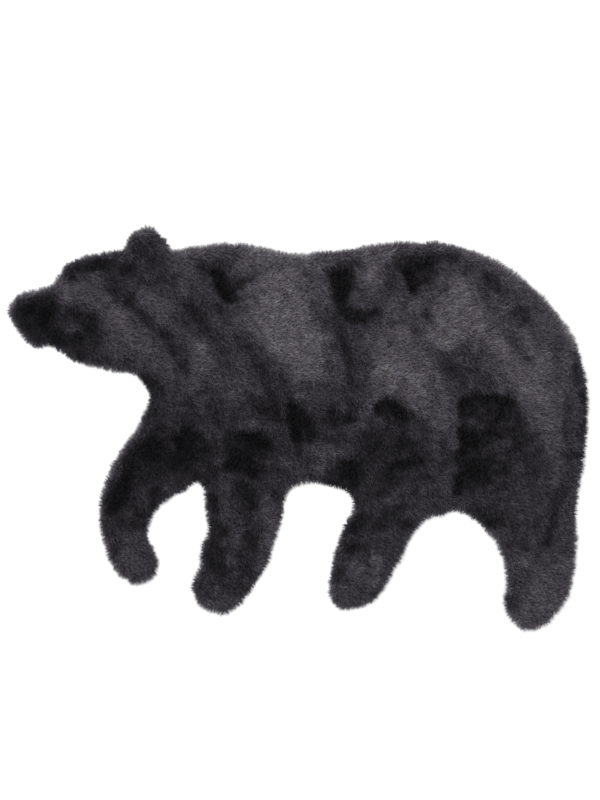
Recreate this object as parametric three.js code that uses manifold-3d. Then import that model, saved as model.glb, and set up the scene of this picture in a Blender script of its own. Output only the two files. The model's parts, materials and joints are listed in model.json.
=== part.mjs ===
// Kids rug cut from one panel of long-napped plush, in the outline of a bear walking to the left.
// It lies flat on the floor. Millimetres; +X runs from the nose to the tail, +Y from the feet to the back,
// +Z is up.
import * as THREE from 'three';
import { mergeVertices } from 'three/addons/utils/BufferGeometryUtils.js';
import Module from 'manifold-3d';

const wasm = await Module();
wasm.setup();

// The cloth's usual thickness: a knitted ground with the pile standing on it, measured together
const CLOTH_THICK = 15;

// The rounding of its upper rim, which would close at RIM_CROWN if the pile's top didn't cut it lower
const RIM_ROUND = 8;
const RIM_ROUND_STEPS = 3;
const RIM_CROWN = 19;
const OUTLINE_STEPS = 190;

// How far the cloth proper stops short of the fur tips that make the outline
const FRINGE = 8;

// A block larger than the whole plan
const BLOCK = { long: 1260, wide: 890 };

// The uneven top: squares of the surface grid, and the gentle lumps of the nap
const GRID = 26;
const LUMP = { rise: 0.8, long: 33, short: 24, bend: 55 };

// The locks at the rim, in a row on the floor and a row above it: their reach inwards, width and height at
// the root, the upper row's lift and how much shorter it is, and how far lengths and leans differ
const LOCKS = {
  count: 250, root: 20, wide: 21, high: 8, upperLift: 5.5, upperShorter: 1.5, uneven: 2.2, lean: 0.3,
};

// Steps in radians from one lock to the next that make their lengths and leans look unplanned
const LENGTH_STEP = 2.4;
const LENGTH_RIPPLE_STEP = 5.1;
const LEAN_STEP = 3.7;

// Points nearer than this are one point
const SAME_PLACE = 1e-4;

// A lock's taper from its root to its tip, as shares of its length, width and height
const LOCK_TAPER = [
  { along: 0, across: 1 },
  { along: 0.55, across: 0.78 },
  { along: 1, across: 0 },
];

// The outline through the fur tips, clockwise from the nose, as x and y of each point
const OUTLINE = {
  muzzle: [[-600, 241], [-580, 274], [-545, 284], [-510, 293]],
  brow: [[-491, 320], [-463, 346], [-425, 359], [-374, 366]],
  ear: [[-356, 373], [-347, 402], [-308, 416], [-289, 402], [-273, 386], [-265, 369]],
  back: [
    [-252, 367], [-204, 375], [-136, 381], [-66, 371], [4, 359], [78, 366], [153, 378], [273, 384], [339, 374],
  ],
  rump: [[411, 344], [485, 290], [543, 226], [582, 150], [597, 65], [591, -30]],
  farHindLeg: [
    [573, -150], [571, -269], [553, -352], [512, -400], [473, -416], [440, -393], [427, -358],
    [431, -298], [413, -239], [372, -193],
  ],
  hindArch: [[318, -171], [268, -185], [229, -228]],
  nearHindLeg: [
    [211, -267], [167, -346], [138, -368], [93, -372], [64, -340], [72, -274], [93, -214], [118, -164],
  ],
  belly: [[103, -129], [37, -109], [-19, -125]],
  nearFrontLeg: [
    [-35, -187], [-70, -292], [-114, -354], [-157, -385], [-202, -367], [-217, -323],
    [-200, -288], [-198, -249], [-183, -212],
  ],
  frontArch: [[-190, -172], [-193, -129], [-209, -112], [-273, -148]],
  farFrontLeg: [
    [-306, -189], [-311, -220], [-288, -280], [-308, -313], [-339, -324], [-378, -292],
    [-405, -228], [-410, -162], [-384, -75],
  ],
  throat: [[-328, 9], [-306, 61], [-330, 110]],
  chin: [[-392, 121], [-460, 138], [-514, 169], [-540, 163], [-572, 190]],
};

// Soft troughs and swells where the cloth was folded and its nap pressed: each runs from one point to
// another, is about twice `wide` across, and rises by `rise`, or sinks where that is below nought
const FOLDS = [
  { name: 'muzzle hollow', from: [-560, 222], to: [-460, 190], wide: 42, rise: -2.2 },
  { name: 'brow hollow', from: [-480, 325], to: [-357, 341], wide: 22, rise: -2 },
  { name: 'cheek trough', from: [-368, 294], to: [-306, 222], wide: 24, rise: -2 },
  { name: 'jaw trough', from: [-306, 222], to: [-233, 129], wide: 24, rise: -2.4 },
  { name: 'cheek swell', from: [-385, 225], to: [-330, 160], wide: 28, rise: 1.2 },
  { name: 'neck trough', from: [-254, 263], to: [-171, 222], wide: 24, rise: -1.5 },
  { name: 'shoulder trough', from: [-171, 222], to: [-78, 139], wide: 26, rise: -2.4 },
  { name: 'shoulder trough end', from: [-78, 139], to: [-22, -20], wide: 24, rise: -2.2 },
  { name: 'nape dent', from: [-165, 330], to: [-145, 270], wide: 20, rise: -3 },
  { name: 'flank swell', from: [-60, 280], to: [-10, 120], wide: 48, rise: 1.6 },
  { name: 'back dent', from: [66, 335], to: [97, 262], wide: 24, rise: -2.6 },
  { name: 'back dent end', from: [97, 255], to: [169, 218], wide: 20, rise: -2 },
  { name: 'middle crease', from: [97, 218], to: [97, 15], wide: 13, rise: -1.4 },
  { name: 'back swell', from: [140, 335], to: [155, 270], wide: 26, rise: 1.1 },
  { name: 'croup notch', from: [270, 372], to: [235, 290], wide: 24, rise: -2.6 },
  { name: 'croup rim hollow', from: [235, 372], to: [335, 355], wide: 18, rise: -1.8 },
  { name: 'croup swell', from: [290, 270], to: [370, 210], wide: 38, rise: 1.8 },
  { name: 'haunch ridge', from: [303, 85], to: [303, -150], wide: 14, rise: 1.8 },
  { name: 'haunch hollow', from: [348, 45], to: [425, 40], wide: 32, rise: -2.8 },
  { name: 'haunch hollow end', from: [350, 5], to: [365, -130], wide: 30, rise: -2 },
  { name: 'haunch dent', from: [165, 42], to: [215, 38], wide: 22, rise: -2.2 },
  { name: 'tail swell', from: [500, 90], to: [520, -70], wide: 30, rise: 1.3 },
  { name: 'side ridge', from: [-34, 70], to: [-26, -35], wide: 12, rise: 1.5 },
  { name: 'side hollow', from: [0, 45], to: [70, 5], wide: 24, rise: -1.8 },
  { name: 'belly dent', from: [80, -65], to: [125, -105], wide: 26, rise: -2 },
  { name: 'elbow dent', from: [-145, -15], to: [-80, -75], wide: 32, rise: -2.2 },
  { name: 'chest hollow', from: [-365, -15], to: [-205, -70], wide: 34, rise: -2 },
  { name: 'far foreleg hollow', from: [-372, -60], to: [-390, -160], wide: 26, rise: -1.8 },
  { name: 'near foreleg swell', from: [-60, -170], to: [-130, -260], wide: 20, rise: 1.3 },
  { name: 'near hind leg swell', from: [120, -260], to: [150, -320], wide: 22, rise: 1.2 },
  { name: 'far hind leg trough', from: [560, -140], to: [512, -255], wide: 15, rise: -2 },
  { name: 'far hind foot swell', from: [490, -320], to: [520, -375], wide: 26, rise: 1.2 },
];

const furOutline = new THREE.CatmullRomCurve3(
  Object.values(OUTLINE).flat().map(([x, y]) => new THREE.Vector3(x, y, 0)), true, 'centripetal');

/** Distance from a point of the plan to a fold's line. */
function distanceToFold(x, y, fold) {
  const start = new THREE.Vector3(...fold.from, 0);
  const end = new THREE.Vector3(...fold.to, 0);
  const here = new THREE.Vector3(x, y, 0);
  const nearest = new THREE.Line3(start, end).closestPointToPoint(here, true, new THREE.Vector3());
  return nearest.distanceTo(here);
}

/** Height of the top of the pile over a point of the plan. */
function topHeight(x, y) {
  const longLumps = Math.sin(x / LUMP.long + Math.sin(y / LUMP.bend));
  const shortLumps = Math.sin(y / LUMP.short + Math.sin(x / LUMP.bend));
  const folds = FOLDS.reduce(
    (sum, fold) => sum + fold.rise * Math.exp(-((distanceToFold(x, y, fold) / fold.wide) ** 2)), 0);
  return CLOTH_THICK + LUMP.rise * (longLumps + shortLumps) + folds;
}

/** Closed geometry to a solid that can be joined and cut. */
function toSolid(geometry) {
  const bare = geometry.clone();
  bare.deleteAttribute('normal');
  bare.deleteAttribute('uv');
  const merged = mergeVertices(bare, SAME_PLACE);
  return new wasm.Manifold(new wasm.Mesh({
    numProp: 3,
    vertProperties: new Float32Array(merged.attributes.position.array),
    triVerts: new Uint32Array(merged.index.array),
  }));
}

/** Joined or cut solid back to a geometry. */
function toGeometry(solid) {
  const mesh = solid.getMesh();
  const geometry = new THREE.BufferGeometry();
  geometry.setAttribute('position', new THREE.BufferAttribute(mesh.vertProperties, 3));
  geometry.setIndex(new THREE.BufferAttribute(mesh.triVerts, 1));
  geometry.computeVertexNormals();
  return geometry;
}

/** Prism of the cloth's outline with a rounded upper rim and a flat underside on the floor. */
function outlinePrism() {
  const contour = furOutline.getSpacedPoints(OUTLINE_STEPS).slice(0, -1);
  const shape = new THREE.Shape(contour.map((point) => new THREE.Vector2(point.x, point.y)));
  const prism = new THREE.ExtrudeGeometry(shape, {
    depth: RIM_CROWN,
    bevelThickness: RIM_ROUND,
    bevelSize: RIM_ROUND,
    bevelOffset: -FRINGE - RIM_ROUND,
    bevelSegments: RIM_ROUND_STEPS,
  });
  prism.translate(0, 0, -RIM_ROUND);
  const underfloor = new THREE.BoxGeometry(2 * BLOCK.long, 2 * BLOCK.wide, RIM_CROWN);
  underfloor.translate(0, 0, -RIM_CROWN / 2);
  return toSolid(prism).subtract(toSolid(underfloor));
}

/** Block over the whole plan with the uneven pile on top and its underside well below the floor. */
function pileBlock() {
  const block = new THREE.BoxGeometry(
    BLOCK.long, BLOCK.wide, 1, Math.round(BLOCK.long / GRID), Math.round(BLOCK.wide / GRID), 1);
  const position = block.attributes.position;
  for (let i = 0; i < position.count; i += 1) {
    const isTop = position.getZ(i) > 0;
    position.setZ(i, isTop ? topHeight(position.getX(i), position.getY(i)) : -RIM_CROWN);
  }
  return toSolid(block);
}

/** One lock along +Y from its root at the origin: four sides, tapered, with a flat underside at z = 0. */
function lockGeometry(length, width, height) {
  const profile = LOCK_TAPER.map(({ along, across }) => new THREE.Vector2(across * Math.SQRT1_2, along));
  const lock = new THREE.LatheGeometry([new THREE.Vector2(0, 0), ...profile], 4, Math.PI / 4);
  const position = lock.attributes.position;
  for (let i = 0; i < position.count; i += 1) {
    const row = LOCK_TAPER.find(({ along }) => Math.abs(along - position.getY(i)) < SAME_PLACE);
    position.setZ(i, position.getZ(i) + row.across / 2);
  }
  return lock.scale(width, length, height);
}

/** Locks all round the rim, one in two on the floor and the others a little above it. */
function rimLocks() {
  const locks = [];
  for (let i = 0; i < LOCKS.count; i += 1) {
    const place = i / LOCKS.count;
    const tip = furOutline.getPointAt(place);
    const along = furOutline.getTangentAt(place);
    const outward = Math.atan2(along.x, -along.y);
    const isUpper = i % 2 === 1;
    const wobble = (Math.sin(i * LENGTH_STEP) + Math.sin(i * LENGTH_RIPPLE_STEP)) / 2;
    const length = LOCKS.root + LOCKS.uneven * wobble - (isUpper ? LOCKS.upperShorter : 0);
    const lock = lockGeometry(length, LOCKS.wide, LOCKS.high);
    lock.rotateZ(LOCKS.lean * Math.sin(i * LEAN_STEP));
    lock.translate(0, -LOCKS.root, isUpper ? LOCKS.upperLift : 0);
    lock.rotateZ(outward - Math.PI / 2);
    locks.push(lock.translate(tip.x, tip.y, 0));
  }
  return locks;
}

/** The whole rug as one solid, with the middle of its underside at the origin. */
function rugGeometry() {
  const slab = outlinePrism().intersect(pileBlock());
  const rug = rimLocks().reduce((solid, lock) => solid.add(toSolid(lock)), slab);
  const geometry = toGeometry(rug);
  geometry.computeBoundingBox();
  const centre = geometry.boundingBox.getCenter(new THREE.Vector3());
  return geometry.translate(-centre.x, -centre.y, 0);
}

const charcoalPlush = new THREE.MeshStandardMaterial({ color: 0x35323a, roughness: 0.95, metalness: 0 });

const pileCloth = new THREE.Mesh(rugGeometry(), charcoalPlush);
pileCloth.name = 'pile_cloth';

const rug = new THREE.Group();
rug.add(pileCloth);

export default rug;
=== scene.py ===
"""Looks of a kids rug: one panel of long-napped charcoal plush, cut to the outline of a walking bear.

The rug lies flat on a pale floor and is seen from straight above. Sizes are in millimetres in the tables and
in metres in the meshes. The plan's tables use the same axes as the solid: +X from the nose to the tail, +Y from
the feet to the back, +Z up.
"""

from __future__ import annotations

import json
import logging
import math
from dataclasses import dataclass
from enum import Enum

import bpy
import numpy as np
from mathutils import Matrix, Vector
from mathutils.geometry import delaunay_2d_cdt

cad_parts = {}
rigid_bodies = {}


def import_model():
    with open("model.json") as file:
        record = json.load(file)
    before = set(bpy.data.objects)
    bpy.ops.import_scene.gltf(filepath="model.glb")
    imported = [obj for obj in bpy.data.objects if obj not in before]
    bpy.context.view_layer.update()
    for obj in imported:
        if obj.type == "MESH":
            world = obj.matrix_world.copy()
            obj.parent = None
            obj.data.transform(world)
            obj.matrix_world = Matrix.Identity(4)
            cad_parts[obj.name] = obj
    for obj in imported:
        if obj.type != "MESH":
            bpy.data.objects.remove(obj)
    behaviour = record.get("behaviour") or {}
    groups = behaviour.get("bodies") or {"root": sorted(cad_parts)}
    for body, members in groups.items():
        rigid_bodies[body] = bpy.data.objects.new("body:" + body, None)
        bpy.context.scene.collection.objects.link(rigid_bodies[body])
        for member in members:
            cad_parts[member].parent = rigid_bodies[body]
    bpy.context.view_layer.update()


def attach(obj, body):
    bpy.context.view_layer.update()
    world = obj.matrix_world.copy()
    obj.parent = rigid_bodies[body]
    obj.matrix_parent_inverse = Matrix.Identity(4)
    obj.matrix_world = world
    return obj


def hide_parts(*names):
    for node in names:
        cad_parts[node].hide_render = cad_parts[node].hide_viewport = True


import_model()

log = logging.getLogger("rug")

MM = 0.001
BODY = "root"
SOLID = "pile_cloth"

# The middle of the solid's overall plan, in the outline's own millimetres: the solid is centred on it
PLAN_MIDDLE = (-1.5, 1.0)

# The number of equal sides of the finished outline
OUTLINE_SIDES = 1600

# The photograph's height, and what one of its pixels takes in at the rug, in millimetres
PHOTO_ROWS = 800
PIXEL = 2.065

# How many points are measured against a ring at once, to spare memory
BATCH = 2000

# Points nearer than this are one, in millimetres, and how far a grid keeps from its ring, in steps
SAME_POINT = 1e-4
GRID_CLEAR = 0.6

# A lock's sides, its radius at the root and how much of that it loses on its way up, for a lock a unit wide
LOCK_SIDES = 3
LOCK_RADIUS = 0.5
LOCK_TAPER = 0.3

# How far apart the seeds of the locks' independent series of random numbers are
SEED_STEP = 101.0

# What the undercoat's points tell the locks
NAP_LAYERS = ("nap", "lean", "tone", "reach", "gather")

# The outline through the fur tips, clockwise from the nose, in millimetres
OUTLINE: dict[str, list[tuple[float, float]]] = {
    "muzzle": [(-600, 241), (-581, 276), (-547, 283), (-529, 290), (-511, 297)],
    "brow": [(-491, 321), (-482, 338), (-463, 348), (-425, 359), (-374, 367)],
    "ear": [(-356, 373), (-347, 402), (-308, 416), (-289, 402), (-273, 386), (-265, 370)],
    "back": [
        (-252, 368), (-232, 374), (-204, 376), (-136, 381), (-66, 371), (4, 359), (42, 364), (78, 366),
        (153, 378), (228, 385), (250, 382), (276, 385), (339, 374),
    ],
    "rump": [(411, 344), (440, 324), (485, 291), (543, 226), (583, 150), (597, 65), (593, -30)],
    "far hind leg": [
        (576, -150), (572, -269), (566, -316), (553, -354), (512, -400), (473, -416), (440, -393), (427, -358),
        (432, -328), (431, -298), (413, -239), (372, -195),
    ],
    "hind arch": [(350, -178), (318, -172), (294, -181), (268, -183), (229, -228)],
    "near hind leg": [
        (210, -267), (198, -290), (167, -345), (138, -367), (114, -371), (92, -375), (76, -364), (66, -338),
        (67, -306), (72, -274), (91, -213), (103, -188), (117, -164),
    ],
    "belly": [(103, -129), (60, -118), (37, -109), (-19, -125)],
    "near front leg": [
        (-35, -187), (-59, -260), (-71, -292), (-114, -354), (-137, -374), (-158, -381), (-202, -366), (-218, -325),
        (-200, -288), (-198, -249), (-183, -212),
    ],
    "front arch": [(-190, -172), (-193, -129), (-208, -110), (-238, -129), (-273, -147)],
    "far front leg": [
        (-307, -189), (-312, -220), (-290, -280), (-307, -309), (-338, -321), (-364, -305), (-380, -288),
        (-402, -228), (-411, -166), (-384, -75),
    ],
    "throat": [(-328, 9), (-307, 61), (-318, 88), (-332, 108)],
    "chin": [(-392, 122), (-460, 138), (-514, 172), (-541, 167), (-570, 192)],
}


@dataclass(frozen=True)
class Stroke:
    """A soft-edged band of the plan, drawn along a line of points.

    Attributes:
        path: its points, millimetres.
        wide: distance from the line at which it has mostly faded, millimetres.
        amount: its full effect, in the unit of the table that it is in.
        crisp: how sharply it ends: 2 fades like a brush stroke, 5 has a clear edge.
    """

    path: list[tuple[float, float]]
    wide: float
    amount: float
    crisp: float = 2.0

    def weight(self, points: np.ndarray) -> np.ndarray:
        """How strongly the stroke acts at each point.

        Args:
            points: N by 2 array of plan points in millimetres.

        Returns:
            N weights from 0 to 1.
        """
        corners = np.array(self.path, dtype=float)
        distance = np.linalg.norm(points - corners[0], axis=1)
        for start, end in zip(corners[:-1], corners[1:]):
            along = end - start
            share = np.clip(((points - start) @ along) / float(along @ along), 0.0, 1.0)
            gap = np.linalg.norm(points - start - share[:, None] * along, axis=1)
            distance = np.minimum(distance, gap)
        return np.exp(-((distance / self.wide) ** self.crisp))


def strokes(*rows: tuple[tuple[float, ...] | float, ...]) -> list[Stroke]:
    """Strokes from the rows of a table.

    Args:
        rows: path as x, y, x, y and so on, width, amount and, where it isn't 2, crispness.

    Returns:
        The strokes in the same order.
    """
    return [Stroke(list(zip(path[::2], path[1::2])), *rest) for path, *rest in rows]


# Soft troughs and swells of the cloth, by which the pile's top rises or sinks, in millimetres
FOLDS: dict[str, Stroke] = {
    "muzzle hollow": Stroke([(-560, 222), (-460, 190)], 42, -2.2),
    "brow hollow": Stroke([(-480, 325), (-357, 341)], 22, -2.0),
    "cheek trough": Stroke([(-368, 294), (-306, 222)], 24, -2.0),
    "jaw trough": Stroke([(-306, 222), (-233, 129)], 24, -2.4),
    "cheek swell": Stroke([(-385, 225), (-330, 160)], 28, 1.2),
    "neck trough": Stroke([(-254, 263), (-171, 222)], 24, -1.5),
    "shoulder trough": Stroke([(-171, 222), (-78, 139)], 26, -2.4),
    "shoulder trough end": Stroke([(-78, 139), (-22, -20)], 24, -2.2),
    "nape dent": Stroke([(-165, 330), (-145, 270)], 20, -3.0),
    "flank swell": Stroke([(-60, 280), (-10, 120)], 48, 1.6),
    "back dent": Stroke([(66, 335), (97, 262)], 24, -2.6),
    "back dent end": Stroke([(97, 255), (169, 218)], 20, -2.0),
    "middle crease": Stroke([(97, 218), (97, 15)], 13, -1.4),
    "back swell": Stroke([(140, 335), (155, 270)], 26, 1.1),
    "croup notch": Stroke([(270, 372), (235, 290)], 24, -2.6),
    "croup rim hollow": Stroke([(235, 372), (335, 355)], 18, -1.8),
    "croup swell": Stroke([(290, 270), (370, 210)], 38, 1.8),
    "haunch ridge": Stroke([(303, 85), (303, -150)], 14, 1.8),
    "haunch hollow": Stroke([(348, 45), (425, 40)], 32, -2.8),
    "haunch hollow end": Stroke([(350, 5), (365, -130)], 30, -2.0),
    "haunch dent": Stroke([(165, 42), (215, 38)], 22, -2.2),
    "tail swell": Stroke([(500, 90), (520, -70)], 30, 1.3),
    "side ridge": Stroke([(-34, 70), (-26, -35)], 12, 1.5),
    "side hollow": Stroke([(0, 45), (70, 5)], 24, -1.8),
    "belly dent": Stroke([(80, -65), (125, -105)], 26, -2.0),
    "elbow dent": Stroke([(-145, -15), (-80, -75)], 32, -2.2),
    "chest hollow": Stroke([(-365, -15), (-205, -70)], 34, -2.0),
    "far foreleg hollow": Stroke([(-372, -60), (-390, -160)], 26, -1.8),
    "near foreleg swell": Stroke([(-60, -170), (-130, -260)], 20, 1.3),
    "near hind leg swell": Stroke([(120, -260), (150, -320)], 22, 1.2),
    "far hind leg trough": Stroke([(560, -140), (512, -255)], 15, -2.0),
    "far hind foot swell": Stroke([(490, -320), (520, -375)], 26, 1.2),
}

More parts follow.
